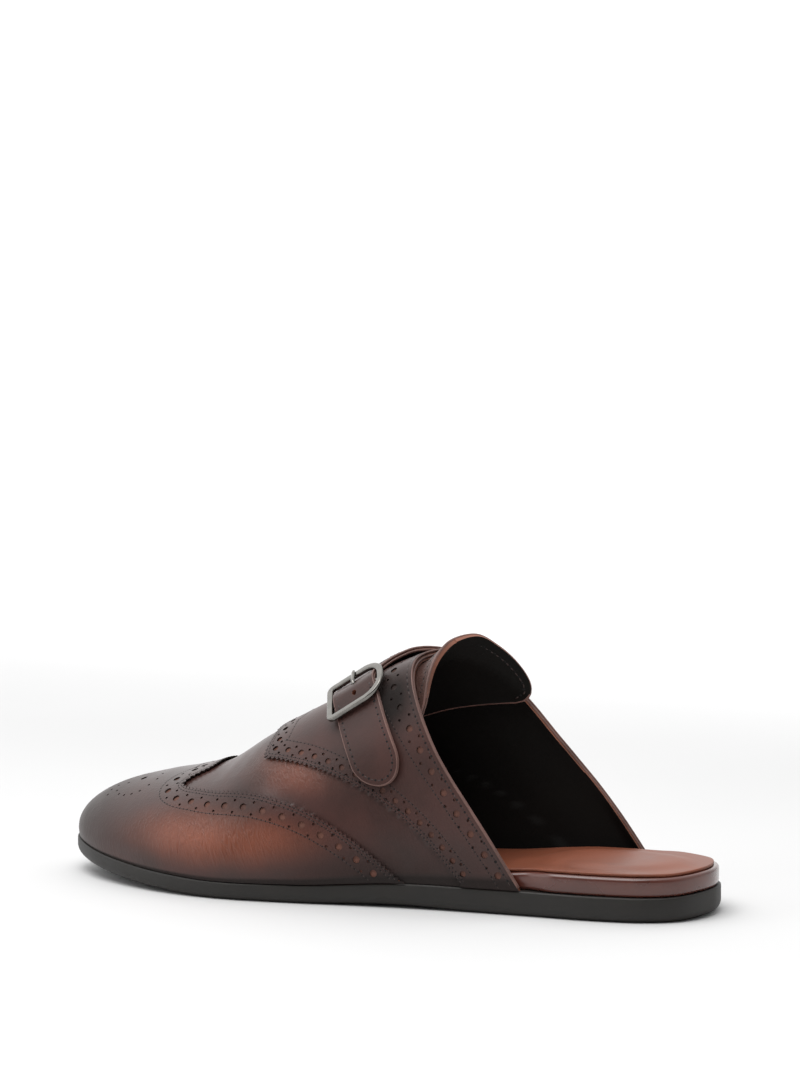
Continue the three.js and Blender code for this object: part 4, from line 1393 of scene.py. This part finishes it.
def bead(points, width, name, slot, material, radii=None):
    """A round bead along points in metres, thinner where its radii say so."""
    line = bpy.data.curves.new(name, "CURVE")
    line.dimensions = "3D"
    line.bevel_depth = width * MM / 2
    line.bevel_resolution = 2
    line.use_fill_caps = True
    spline = line.splines.new("POLY")
    spline.points.add(len(points) - 1)
    spline.points.foreach_set("co", np.column_stack([points, np.ones(len(points))]).ravel())
    if radii is not None:
        spline.points.foreach_set("radius", radii)
    holder = bpy.data.objects.new(name, line)
    bpy.context.scene.collection.objects.link(holder)
    depsgraph = bpy.context.evaluated_depsgraph_get()
    bm = bmesh.new()
    bm.from_mesh(holder.evaluated_get(depsgraph).to_mesh())
    bpy.data.objects.remove(holder)
    bmesh.ops.remove_doubles(bm, verts=bm.verts[:], dist=BEAD_MERGE * MM)
    return piece_of(bm, name, [material])


def beads_at(places, lifts, name, slot):
    """A bead along places on the upper, at a lift off the last."""
    points = placed(lifted(places[:, 0], places[:, 1], lifts))
    return bead(points, sizes_mm()["bead_width"], name, slot, MATERIALS["bead"])


def creased(along, across):
    """How far the leather lies below the last's surface, for the creases."""
    place = np.stack(np.broadcast_arrays(along, across), axis=-1) * CREASE_SCALE
    lift = np.zeros(place.shape[:-1])
    for a, b, c, d, width, depth in zip(*CREASES.values()):
        start, end = np.array([a, b]) * CREASE_SCALE, np.array([c, d]) * CREASE_SCALE
        run = end - start
        share = np.clip(((place - start) @ run) / (run @ run), 0, 1)
        away = np.linalg.norm(place - start - share[..., None] * run, axis=-1)
        fade = np.sin(math.pi * np.clip(share, CREASE_FADE, 1 - CREASE_FADE)) ** 0.5
        lift -= depth * np.exp(-((away / width) ** 2)) * fade
    return lift


def vamp_lift(along, across):
    """The vamp swells a little under the brogued pieces, so that it shows in their holes."""
    along, across = np.broadcast_arrays(along, across)
    wing = eased((along - edge_at(WING_EDGE, across) - SWELL_START) / SWELL_RUN)
    quarter = eased((edge_at(QUARTER_EDGE, across) - along - SWELL_START) / SWELL_RUN)
    opening = eased((along - edge_at(TOPLINE, across, "edge") - OPENING_START) / OPENING_RUN)
    return creased(along, across) + GROUND_SWELL * (wing + quarter * opening)


def overlay_lift(along, across):
    return creased(along, across) + OVERLAY_TOP


def tongue_lift(along, across):
    reach = -curve(TONGUE_END, "across", "along", 0.0)
    flare = TONGUE_FLARE * (np.maximum(0, FLARE_START - along) / reach) ** FLARE_BEND
    return flare - UPPER_WALL - TONGUE_GAP


def strap_lift(along, across):
    across = np.broadcast_arrays(along, across)[1]
    arch = curve(STRAP_PATH, "across", "arch", across) * STRAP_ARCH
    bow = curve(PIN_BOW, "past", "bow", across - BUCKLE_ACROSS) * STRAP_BOW
    return STRAP_REST + arch + bow + STRAP_THICKNESS


def strap_edge(across, name):
    past = np.maximum(0, across - STRAP_ROUND) / (STRAP_TIP - STRAP_ROUND)
    reach = curve(STRAP_PATH, "across", name, across) * STRAP_WIDTH * np.sqrt(np.maximum(0, 1 - past**2))
    ahead = upper_point(STRAP_ALONG + SLOPE_STEP, across) - upper_point(STRAP_ALONG - SLOPE_STEP, across)
    scale = np.linalg.norm(ahead, axis=-1) / (2 * SLOPE_STEP)
    turn = -1 if name == "rear" else 1
    return STRAP_ALONG + turn * reach / scale


def strap_line():
    """The strap's edge as places: along its rear edge, round its tip and back along its front edge."""
    body = np.linspace(STRAP_START, STRAP_ROUND, STRAP_PLACES)
    turn = np.sin(np.linspace(0, math.pi / 2, TIP_PLACES)[1:])
    across = np.concatenate([body, STRAP_ROUND + (STRAP_TIP - STRAP_ROUND) * turn])
    rear = np.column_stack([strap_edge(across, "rear"), across])
    front = np.column_stack([strap_edge(across, "front"), across])
    return np.vstack([rear, front[-2::-1]])


def ring_at(inset, height):
    """A closed ring on the plan, in metres."""
    flat = plan_inset(inset)
    return placed(np.column_stack([flat, height(flat[:, 0])]))


def layered(rings):
    """A body from rings one above another: bridged from ring to ring, and both ends filled."""
    bm = bmesh.new()
    loops = []
    for ring in rings:
        corners = [bm.verts.new(point) for point in ring]
        loops.append([bm.edges.new((corners[i - 1], corners[i])) for i in range(len(corners))])
    for low, high in zip(loops, loops[1:]):
        bmesh.ops.bridge_loops(bm, edges=low + high)
    for end in (loops[0], loops[-1]):
        bmesh.ops.triangle_fill(bm, use_beauty=True, edges=end, normal=(0, 0, 1))
    bmesh.ops.recalc_face_normals(bm, faces=bm.faces[:])
    return bm


def round_over(radius, count):
    """How a quarter round goes in and up, from flat to upright."""
    angles = np.linspace(0, math.pi / 2, count)
    return [(radius * (1 - math.sin(angle)), radius * (1 - math.cos(angle))) for angle in angles]


def footbed_inset(x, y):
    """How far in the footbed's side lies: out at the heel, and inside the upper ahead of its opening."""
    outer = feather_point("outer", curve(SECTIONS, "along", "outer", 0.0))[0][0]
    inner = feather_point("inner", curve(SECTIONS, "along", "inner", 0.0))[0][0]
    start = np.where(y > 0, outer, inner)
    share = eased((x - start + WALL_LEAD) / (WALL_LEAD - 1))
    inside = lip_at(x) + UPPER_WALL + 2 * GAP
    return FOOTBED_LIP + (inside - FOOTBED_LIP) * share


def outline_of(*runs):
    """Joins runs of places to one outline."""
    return np.vstack(runs)


def run_to(start, end, count):
    """Places on a straight run, without its last."""
    return np.linspace(start, end, count, endpoint=False)


class SLIPPER_OT_outsole(bpy.types.Operator):
    """Build the rubber outsole with its rounded tread edge"""

    bl_idname = "slipper.outsole"
    bl_label = "Outsole"

    def execute(self, context):
        tread = round_over(TREAD_ROUNDING, TREAD_STEPS)
        rim = reversed(round_over(RIM_ROUNDING, RIM_STEPS))
        rings = [ring_at(lambda x, y: inset, lambda x: sole_bottom(x) + up) for inset, up in tread]
        rings += [ring_at(lambda x, y: inset, lambda x: sole_top(x) - down) for inset, down in rim]
        bm = layered(rings)
        score(bm, 0, np.linspace(-SOLE_SCORED, SOLE_SCORED, SOLE_SCORES) * MM)
        piece_of(bm, "rubber_outsole", [MATERIALS["rubber"]], ["outsole"])
        return {"FINISHED"}


class SLIPPER_OT_footbed(bpy.types.Operator):
    """Build the leather-wrapped footbed and the insole with its soft heel pad"""

    bl_idname = "slipper.footbed"
    bl_label = "Footbed and insole"

    def execute(self, context):
        self.wrap()
        self.insole()
        return {"FINISHED"}

    def wrap(self):
        def base(x):
            return sole_top(x) + GAP

        shoulder = round_over(FOOTBED_ROUNDING, FOOTBED_STEPS)
        edge = list(zip(WRAP_EDGE["inset"], WRAP_EDGE["up"]))
        edge += [(inset, 1 - down / FOOTBED_HEIGHT) for inset, down in reversed(shoulder)]
        rings = [
            ring_at(lambda x, y: footbed_inset(x, y) + inset, lambda x: base(x) + up * footbed_height(x))
            for inset, up in edge
        ]
        piece_of(layered(rings), "wrapped_footbed", [MATERIALS["wrap"]], ["footbed"])

    def insole(self):
        def base(x):
            return sole_top(x) + 2 * GAP + footbed_height(x)

        def inset_of(step):
            return lambda x, y: footbed_inset(x, y) + INSOLE_MARGIN + step

        rim = reversed(round_over(INSOLE_ROUNDING, RIM_STEPS))
        edge = [(0.0, 0.0)] + [(inset, INSOLE_THICKNESS - down) for inset, down in rim]
        bm = layered([ring_at(inset_of(step), lambda x: base(x) + up) for step, up in edge])
        for axis, (reach, count) in enumerate(zip(INSOLE_SCORED, INSOLE_SCORES)):
            score(bm, axis, np.linspace(-reach, reach, count) * MM)
        places = np.array([vert.co for vert in bm.verts]) / MM
        away = np.linalg.norm((places[:, :2] - PAD_CENTRE) / PAD_REACH, axis=1)
        top = places[:, 2] > base(places[:, 0]) + INSOLE_THICKNESS / 2
        lift = sizes_mm()["heel_pad_rise"] * eased((1 - away) / PAD_EDGE) * top
        for vert, height in zip(bm.verts, lift):
            vert.co.z += height * MM
        piece_of(bm, "soft_insole", [MATERIALS["insole"]], ["insole"])


class SLIPPER_OT_vamp(bpy.types.Operator):
    """Build the lasted vamp with its lining"""

    bl_idname = "slipper.vamp"
    bl_label = "Vamp"

    def execute(self, context):
        count = SCORES_ACROSS + 1
        fold = np.column_stack([np.ones(count - 1), run_to(-1, 1, count - 1)])
        topline = edge_line(TOPLINE, 1, -1, 2 * count, "edge")
        bm = cut_leather(outline_of(fold, [(1.0, 1.0)], topline))
        last_leather(bm, vamp_lift)
        materials = [MATERIALS["vamp"], MATERIALS["edge"], MATERIALS["lining"], MATERIALS["flesh"]]
        piece = piece_of(bm, "lasted_vamp", materials, ["upper"])
        give_wall(piece, UPPER_WALL, rim=1, back=2)
        smooth_leather(piece, vamp_lift)
        self.bare_under_holes(piece, materials.index(MATERIALS["flesh"]))
        return {"FINISHED"}

    def bare_under_holes(self, piece, flesh):
        """The leather under the brogued pieces isn't dyed: it shows in their holes."""
        places = piece.data.uv_layers["Place"].data
        for face in piece.data.polygons:
            if face.material_index:
                continue
            along, across = np.mean([places[i].uv for i in face.loop_indices], axis=0)
            wing = edge_at(WING_EDGE, across) + BARE_MARGIN
            quarter = edge_at(QUARTER_EDGE, across) - BARE_MARGIN
            if along > wing or along < quarter:
                face.material_index = flesh


class SLIPPER_OT_wing_cap(bpy.types.Operator):
    """Build the wing cap with its gimped edge, brogue holes and medallion"""

    bl_idname = "slipper.wing_cap"
    bl_label = "Wing cap"

    def execute(self, context):
        line = edge_line(WING_EDGE, -1, 1, WING_PLACES)
        outline = self.outline(line)
        big, small = brogue_row(line, -1, pitch=sizes_mm()["brogue_pitch"], **WING_ROW)
        big, small = (row[np.abs(row[:, 1]) < WING_HOLES_FOOT] for row in (big, small))
        dots, large = medallion()
        large_holes = (np.vstack([big, dots[large]]), BIG_HOLE)
        small_holes = (np.vstack([small, dots[~large]]), SMALL_HOLE)
        bm = cut_leather(outline, punched(outline, large_holes, small_holes))
        last_leather(bm, overlay_lift)
        materials = [MATERIALS["cap"], MATERIALS["gimped"]]
        piece = piece_of(bm, "brogued_wing_cap", materials, ["wing_cap"])
        give_wall(piece, OVERLAY_WALL)
        smooth_leather(piece, overlay_lift)
        for ridge, foot in WING_SEAMS:
            stitched(row_beside(line, taper(line[:, 1], ridge, foot), -1), overlay_lift)
        return {"FINISHED"}

    def outline(self, line):
        """Along the gimped edge, down the outer foot, round the toe's fold and up the inner foot."""
        edge = pinked(line, -1)
        edge = edge[np.abs(edge[:, 1]) < EDGE_FOOT]
        foot = edge_at(WING_EDGE, 1.0)
        right = np.column_stack([run_to(foot, 1, SIDE_PLACES), np.ones(SIDE_PLACES)])
        fold = np.column_stack([np.ones(SCORES_ACROSS), run_to(1, -1, SCORES_ACROSS)])
        left = np.column_stack([run_to(1, foot, SIDE_PLACES), -np.ones(SIDE_PLACES)])
        return outline_of(edge, right, fold, left)


class SLIPPER_OT_quarters(bpy.types.Operator):
    """Build the two quarters with their gimped front edges and brogued topline"""

    bl_idname = "slipper.quarters"
    bl_label = "Quarters"

    def execute(self, context):
        self.quarter("outer", SEAM_ACROSS + SEAM_HALF, 1.0)
        self.quarter("inner", -1.0, SEAM_ACROSS - SEAM_HALF)
        return {"FINISHED"}

    def quarter(self, side, start, end):
        front = edge_line(QUARTER_EDGE, start, end, FRONT_PLACES)
        top = edge_line(TOPLINE, end, start, TOP_PLACES, "edge")
        strip = edge_line(TOPLINE, start, end, TOP_PLACES, "holes")
        outline = self.outline(front, top, start, end)
        big, small = brogue_row(front, 1, **FRONT_ROW)
        strip_big, strip_small = brogue_row(strip, 1, **STRIP_ROW)
        inside = (start + HOLES_ASIDE, end - HOLES_ASIDE)
        rows = [self.kept(places, inside) for places in (big, strip_big, small, strip_small)]
        radii = (FRONT_HOLE, BIG_HOLE, SMALL_HOLE, SMALL_HOLE)
        bm = cut_leather(outline, punched(outline, *zip(rows, radii)))
        last_leather(bm, overlay_lift)
        materials = [MATERIALS["quarter"], MATERIALS["gimped"]]
        piece = piece_of(bm, f"brogued_quarter_{side}", materials, [f"quarter_{side}"])
        give_wall(piece, OVERLAY_WALL)
        smooth_leather(piece, overlay_lift)
        for ridge, foot in FRONT_SEAMS:
            stitched(row_beside(front, taper(front[:, 1], ridge, foot), 1), overlay_lift)
        stitched(row_beside(top, TOP_SEAM, 1), overlay_lift, True)
        stitched(edge_line(TOPLINE, start, end, TOP_PLACES, "seam"), overlay_lift)

    def outline(self, front, top, start, end):
        """Along the gimped front edge, up one side, along the opening and down the other side."""
        edge = pinked(front, 1)
        edge = edge[(edge[:, 1] > start + NEAR) & (edge[:, 1] < end - NEAR)]
        low = np.column_stack([run_to(front[-1, 0], top[0, 0], END_PLACES), np.full(END_PLACES, end)])
        high = np.column_stack([run_to(top[-1, 0], front[0, 0], END_PLACES), np.full(END_PLACES, start)])
        return outline_of(edge, low, top[:-1], high)

    def kept(self, places, inside):
        """Holes that lie within the quarter and behind neither its edges nor its foot."""
        along, across = places.T
        within = (np.abs(across) < FRONT_HOLES_FOOT) & (across > inside[0]) & (across < inside[1])
        behind = along > edge_at(TOPLINE, across, "edge") + HOLES_BEHIND
        ahead = along < edge_at(QUARTER_EDGE, across) - HOLES_ASIDE
        return places[within & behind & ahead]


class SLIPPER_OT_tongue(bpy.types.Operator):
    """Build the tongue that flares up past the opening"""

    bl_idname = "slipper.tongue"
    bl_label = "Tongue"

    def execute(self, context):
        across = np.linspace(-TONGUE_REACH, TONGUE_REACH, TONGUE_PLACES)
        rim = np.column_stack([curve(TONGUE_END, "across", "along", across), across])
        sides = np.full(END_PLACES, TONGUE_REACH)
        right = np.column_stack([run_to(rim[-1, 0], TONGUE_ROOT, END_PLACES), sides])
        level = np.full(END_PLACES, TONGUE_ROOT)
        root = np.column_stack([level, run_to(TONGUE_REACH, -TONGUE_REACH, END_PLACES)])
        left = np.column_stack([run_to(TONGUE_ROOT, rim[0, 0], END_PLACES), -sides])
        bm = cut_leather(self.tapered(outline_of(rim[:-1], right, root, left)))
        last_leather(bm, tongue_lift)
        materials = [MATERIALS["tongue"], MATERIALS["edge"], MATERIALS["lining"]]
        piece = piece_of(bm, "flared_tongue", materials, ["tongue"])
        give_wall(piece, TONGUE_THICKNESS, rim=1, back=2)
        smooth_leather(piece, tongue_lift)
        edge = self.tapered(outline_of(rim[::-1], left[TONGUE_BEAD_START:][::-1]))
        for depth in (TONGUE_BEAD_DEPTH, TONGUE_THICKNESS - TONGUE_BEAD_DEPTH):
            name = f"tongue_bead_{depth:.1f}".replace(".", "_")
            beads_at(edge, tongue_lift(*edge.T) - depth, name, "tongue_leather")
        seam = row_beside(self.tapered(rim), TONGUE_SEAM, -1)
        stitched(seam, tongue_lift, True)
        stitched(seam, lambda along, across: tongue_lift(along, across) - TONGUE_THICKNESS, True)
        return {"FINISHED"}

    def tapered(self, places):
        """Places moved in towards the ridge, the more the further forward they lie."""
        share = 1 - TONGUE_TAPER * np.maximum(0, places[:, 0])
        return np.column_stack([places[:, 0], places[:, 1] * share])


class SLIPPER_OT_strap(bpy.types.Operator):
    """Build the strap, bowed up over the buckle's bar, with its beads and holes"""

    bl_idname = "slipper.strap"
    bl_label = "Strap"

    def execute(self, context):
        line = strap_line()
        pin = np.array([(STRAP_ALONG, BUCKLE_ACROSS)])
        _, sideways = surface_axes(pin[:, 0], pin[:, 1])
        holes = []
        for step, radius in ((-PRONG_HOLE_STEP, PRONG_HOLE), (SPARE_HOLE_STEP, SPARE_HOLE)):
            holes += ring_of(stepped(pin, step * unit(sideways)), radius, BIG_SIDES)
        bm = cut_leather(line, holes)
        last_leather(bm, strap_lift)
        materials = [MATERIALS["strap"], MATERIALS["edge"], MATERIALS["lining"]]
        piece = piece_of(bm, "buckled_strap", materials, ["strap"])
        give_wall(piece, STRAP_THICKNESS, rim=1, back=2)
        smooth_leather(piece, strap_lift)
        depths = {"upper": STRAP_BEAD_DEPTH, "lower": STRAP_THICKNESS - STRAP_BEAD_DEPTH}
        for name, depth in depths.items():
            beads_at(line, strap_lift(*line.T) - depth, f"strap_bead_{name}", "strap_leather")
        stitched(row_beside(line, STRAP_SEAM, -1), strap_lift, True)
        return {"FINISHED"}


def buckle_axes():
    """The buckle's own axes: forward along the shoe, sideways across the strap, and up."""
    here = (STRAP_ALONG, BUCKLE_ACROSS)
    ahead = upper_point(here[0] + SLOPE_STEP, here[1]) - upper_point(here[0] - SLOPE_STEP, here[1])
    forward = unit(ahead)
    side_step = np.linalg.norm(upper_point(here[0], here[1] + SLOPE_STEP) - upper_point(*here))
    reach = (FRAME_WIDTH - FRAME_BAR) / 2 * SLOPE_STEP / side_step
    lift = STRAP_REST + STRAP_THICKNESS + FRAME_CLEARANCE + FRAME_DEPTH / 2
    bars = [lifted(here[0], here[1] + step, lift) for step in (-reach, reach)]
    up = unit(np.cross(forward, unit(bars[1] - bars[0])))
    sideways = unit(np.cross(up, forward))
    middle = placed((bars[0] + bars[1]) / 2)
    turn = Matrix((forward, sideways, up)).transposed().to_4x4()
    return Matrix.Translation(Vector(middle)) @ turn @ Matrix.Scale(MM, 4)


def rounded_ring(bm, inset):
    """The frame's outline moved inwards: wide corners at the rear, tighter ones at the front."""
    half_x, half_y = FRAME_LENGTH / 2 - inset, FRAME_WIDTH / 2 - inset
    corners = (
        (-1, -1, FRAME_CORNER - inset, math.pi),
        (1, -1, FRONT_CORNER - inset, 1.5 * math.pi),
        (1, 1, FRONT_CORNER - inset, 0),
        (-1, 1, FRAME_CORNER - inset, 0.5 * math.pi),
    )
    verts = []
    for turn_x, turn_y, radius, start in corners:
        centre = (turn_x * (half_x - radius), turn_y * (half_y - radius))
        for angle in start + np.linspace(0, math.pi / 2, CORNER_PLACES):
            place = (centre[0] + radius * math.cos(angle), centre[1] + radius * math.sin(angle), 0)
            verts.append(bm.verts.new(place))
    return [bm.edges.new((verts[i - 1], verts[i])) for i in range(len(verts))]


class SLIPPER_OT_buckle(bpy.types.Operator):
    """Build the buckle: bevelled frame, its bar and its prong"""

    bl_idname = "slipper.buckle"
    bl_label = "Buckle"

    def execute(self, context):
        axes = buckle_axes()
        bm = bmesh.new()
        self.ring(bm)
        self.bar(bm)
        bmesh.ops.transform(bm, matrix=axes, verts=bm.verts[:])
        piece_of(bm, "buckle_ring", [MATERIALS["metal"]], ["buckle_frame"])
        self.prong(axes)
        return {"FINISHED"}

    def ring(self, bm):
        bmesh.ops.bridge_loops(bm, edges=rounded_ring(bm, 0) + rounded_ring(bm, FRAME_FACE))
        faces = bmesh.ops.extrude_face_region(bm, geom=bm.faces[:])["geom"]
        raised = [item for item in faces if isinstance(item, bmesh.types.BMVert)]
        bmesh.ops.translate(bm, verts=raised, vec=(0, 0, FRAME_DEPTH))
        bmesh.ops.translate(bm, verts=bm.verts[:], vec=(0, 0, -FRAME_DEPTH / 2))
        bmesh.ops.recalc_face_normals(bm, faces=bm.faces[:])
        bmesh.ops.bevel(
            bm,
            geom=[edge for edge in bm.edges if edge.calc_face_angle(0) > math.radians(FRAME_SHARP)],
            offset=FRAME_BEVEL,
            segments=BEVEL_SEGMENTS,
            profile=0.5,
            affect="EDGES",
            material=-1,
        )

    def bar(self, bm):
        turn = Matrix.Translation((0, 0, -PIN_DROP)) @ Matrix.Rotation(math.pi / 2, 4, "Y")
        bmesh.ops.create_cone(
            bm,
            cap_ends=True,
            segments=PIN_SIDES,
            radius1=PIN_DIAMETER / 2,
            radius2=PIN_DIAMETER / 2,
            depth=FRAME_LENGTH - FRAME_BAR,
            matrix=turn,
        )

    def prong(self, axes):
        share = np.linspace(0, 1, PRONG_PLACES)
        path = {"at": np.linspace(0, 1, len(PRONG_PATH["up"])), **PRONG_PATH}
        across, up = (curve(path, "at", name, share) for name in ("across", "up"))
        points = np.array([axes @ Vector((0, -a, b)) for a, b in zip(across, up)])
        thin = 1 - PRONG_TAPER * share**2
        metal = MATERIALS["metal"]
        piece = bead(points, PRONG_DIAMETER, "buckle_tongue_prong", "buckle_metal", metal, thin)
        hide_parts("buckle_prong")


class SLIPPER_OT_opening(bpy.types.Operator):
    """Build the double bead round the opening"""

    bl_idname = "slipper.opening"
    bl_label = "Opening beads"

    def execute(self, context):
        line = edge_line(TOPLINE, -LINE_FOOT, LINE_FOOT, TOP_PLACES, "edge")
        for name, lift in OPENING_BEADS.items():
            beads_at(line, np.full(TOP_PLACES, lift), f"opening_bead_{name}", "quarter_leather")
        return {"FINISHED"}


class SLIPPER_OT_seams(bpy.types.Operator):
    """Sew every noted seam: threads on the surface, and dark discs of painted shade for the needle holes
    between them
    """

    bl_idname = "slipper.seams"
    bl_label = "Seams"

    def execute(self, context):
        chosen = sizes_mm()
        thread = (chosen["stitch_length"], chosen["thread_width"], chosen["thread_width"])
        prick = (chosen["needle_hole"], chosen["needle_hole"], NEEDLE_DEPTH)
        self.sewn("sewn_threads", thread, THREAD_SINK, MATERIALS["thread"], lambda frames: frames)
        # Needle holes: dark discs of painted shade, sunk between the threads.
        self.sewn("needle_holes", prick, NEEDLE_SINK, MATERIALS["puncture"], between)
        return {"FINISHED"}

    def sewn(self, name, size, sink, material, choose):
        whole = bmesh.new()
        for places, lift, scale in SEWING:
            shape = (size[0] * scale, size[1] * scale, size[2])
            add_beads(whole, choose(seam_frames(places, lift)), shape, sink)
        piece_of(whole, name, [material])


def soft_light(name, power, place, target, size):
    light = bpy.data.lights.new(name, "AREA")
    light.shape = "RECTANGLE"
    light.size, light.size_y = size
    light.energy = power
    lamp = bpy.data.objects.new(name, light)
    lamp.location = place
    lamp.rotation_euler = (Vector(target) - Vector(place)).to_track_quat("-Z", "Y").to_euler()
    bpy.context.scene.collection.objects.link(lamp)


class SLIPPER_OT_stage(bpy.types.Operator):
    """Set the camera, the pale floor and the soft lights"""

    bl_idname = "slipper.stage"
    bl_label = "Stage"

    def execute(self, context):
        chosen = context.scene.slipper_stage
        self.camera(context.scene)
        self.floor(chosen)
        soft_light("Overhead soft box", chosen.key_power, **KEY_LIGHT)
        soft_light("Toe soft box", chosen.fill_power, **FILL_LIGHT)
        context.scene.world = self.surroundings(chosen)
        context.scene.view_settings.view_transform = "Standard"
        return {"FINISHED"}

    def camera(self, scene):
        data = bpy.data.cameras.new("Photo camera")
        data.lens = PHOTO_LENS
        camera = bpy.data.objects.new("Photo camera", data)
        flat = math.cos(PHOTO_PITCH)
        back = Vector((math.sin(PHOTO_YAW) * flat, -math.cos(PHOTO_YAW) * flat, math.sin(PHOTO_PITCH)))
        right = (-back).cross(Vector((0, 0, 1))).normalized()
        turn = Matrix((right, back.cross(right), back)).transposed().to_4x4()
        camera.matrix_world = Matrix.Translation(PHOTO_PLACE) @ turn
        scene.collection.objects.link(camera)
        scene.camera = camera

    def floor(self, chosen):
        material, graph, shader, place = new_material("Studio floor")
        cloud = graph.noise(place, scale=3.0, detail=2.0)
        shade = graph.mix(cloud, tuple(chosen.floor), mixed(chosen.floor, WHITE, 0.2))
        graph.feed(shader.inputs["Base Color"], shade)
        shader.inputs["Roughness"].default_value = 0.9
        depth = graph.add("ShaderNodeSeparateXYZ", Vector=place).outputs["Y"]
        shader.inputs["Emission Color"].default_value = WHITE
        glow = graph.spread(depth, *GLOW_FADE, chosen.sweep, 0.0)
        graph.feed(shader.inputs["Emission Strength"], glow)
        bm = bmesh.new()
        bmesh.ops.create_grid(bm, x_segments=2, y_segments=2, size=FLOOR_REACH)
        mesh = bpy.data.meshes.new("studio_floor")
        bm.to_mesh(mesh)
        bm.free()
        mesh.materials.append(material)
        floor = bpy.data.objects.new("studio_floor", mesh)
        bpy.context.scene.collection.objects.link(floor)

    def surroundings(self, chosen):
        """A pale sky, weaker low down, behind the camera and past the heel."""
        world = bpy.data.worlds.new("Pale surroundings")
        world.use_nodes = True
        graph = Graph(world.node_tree)
        place = graph.add("ShaderNodeTexCoord").outputs["Generated"]
        parts = graph.add("ShaderNodeSeparateXYZ", Vector=place).outputs
        height = graph.spread(parts["Z"], *HORIZON_FADE, chosen.horizon, 1.0)
        front = graph.spread(parts["Y"], *CAMERA_FADE, 1.0, chosen.camera_side)
        toe = graph.spread(parts["X"], *HEEL_FADE, chosen.heel_side, 1.0)
        share = graph.math("MULTIPLY", height, graph.math("MULTIPLY", front, toe))
        back = world.node_tree.nodes["Background"]
        back.inputs["Color"].default_value = WHITE
        graph.feed(back.inputs["Strength"], graph.math("MULTIPLY", share, chosen.sky))
        return world


class SLIPPER_PT_pieces(bpy.types.Panel):
    """Lists the slipper's pieces and its chosen sizes and colours"""

    bl_idname = "SLIPPER_PT_pieces"
    bl_label = "Backless brogue slipper"
    bl_space_type = "VIEW_3D"
    bl_region_type = "UI"
    bl_category = "Slipper"

    def draw(self, context):
        for operator in OPERATORS:
            self.layout.operator(operator.bl_idname)
        scene = context.scene
        for group in (scene.slipper_sizes, scene.slipper_colours, scene.slipper_stage):
            box = self.layout.box()
            for name in property_names(group):
                box.prop(group, name)


OPERATORS = (
    SLIPPER_OT_outsole,
    SLIPPER_OT_footbed,
    SLIPPER_OT_vamp,
    SLIPPER_OT_wing_cap,
    SLIPPER_OT_quarters,
    SLIPPER_OT_tongue,
    SLIPPER_OT_strap,
    SLIPPER_OT_buckle,
    SLIPPER_OT_opening,
    SLIPPER_OT_seams,
    SLIPPER_OT_stage,
)
CLASSES = (SlipperColours, SlipperSizes, SlipperStage, *OPERATORS, SLIPPER_PT_pieces)


def register():
    for item in CLASSES:
        bpy.utils.register_class(item)
    bpy.types.Scene.slipper_colours = PointerProperty(type=SlipperColours)
    bpy.types.Scene.slipper_sizes = PointerProperty(type=SlipperSizes)
    bpy.types.Scene.slipper_stage = PointerProperty(type=SlipperStage)


def unregister():
    del bpy.types.Scene.slipper_stage
    del bpy.types.Scene.slipper_sizes
    del bpy.types.Scene.slipper_colours
    for item in reversed(CLASSES):
        bpy.utils.unregister_class(item)


def main():
    register()
    make_materials()
    for operator in OPERATORS:
        name = operator.bl_idname.split(".")[1]
        getattr(bpy.ops.slipper, name)()


if __name__ == "__main__":
    main()
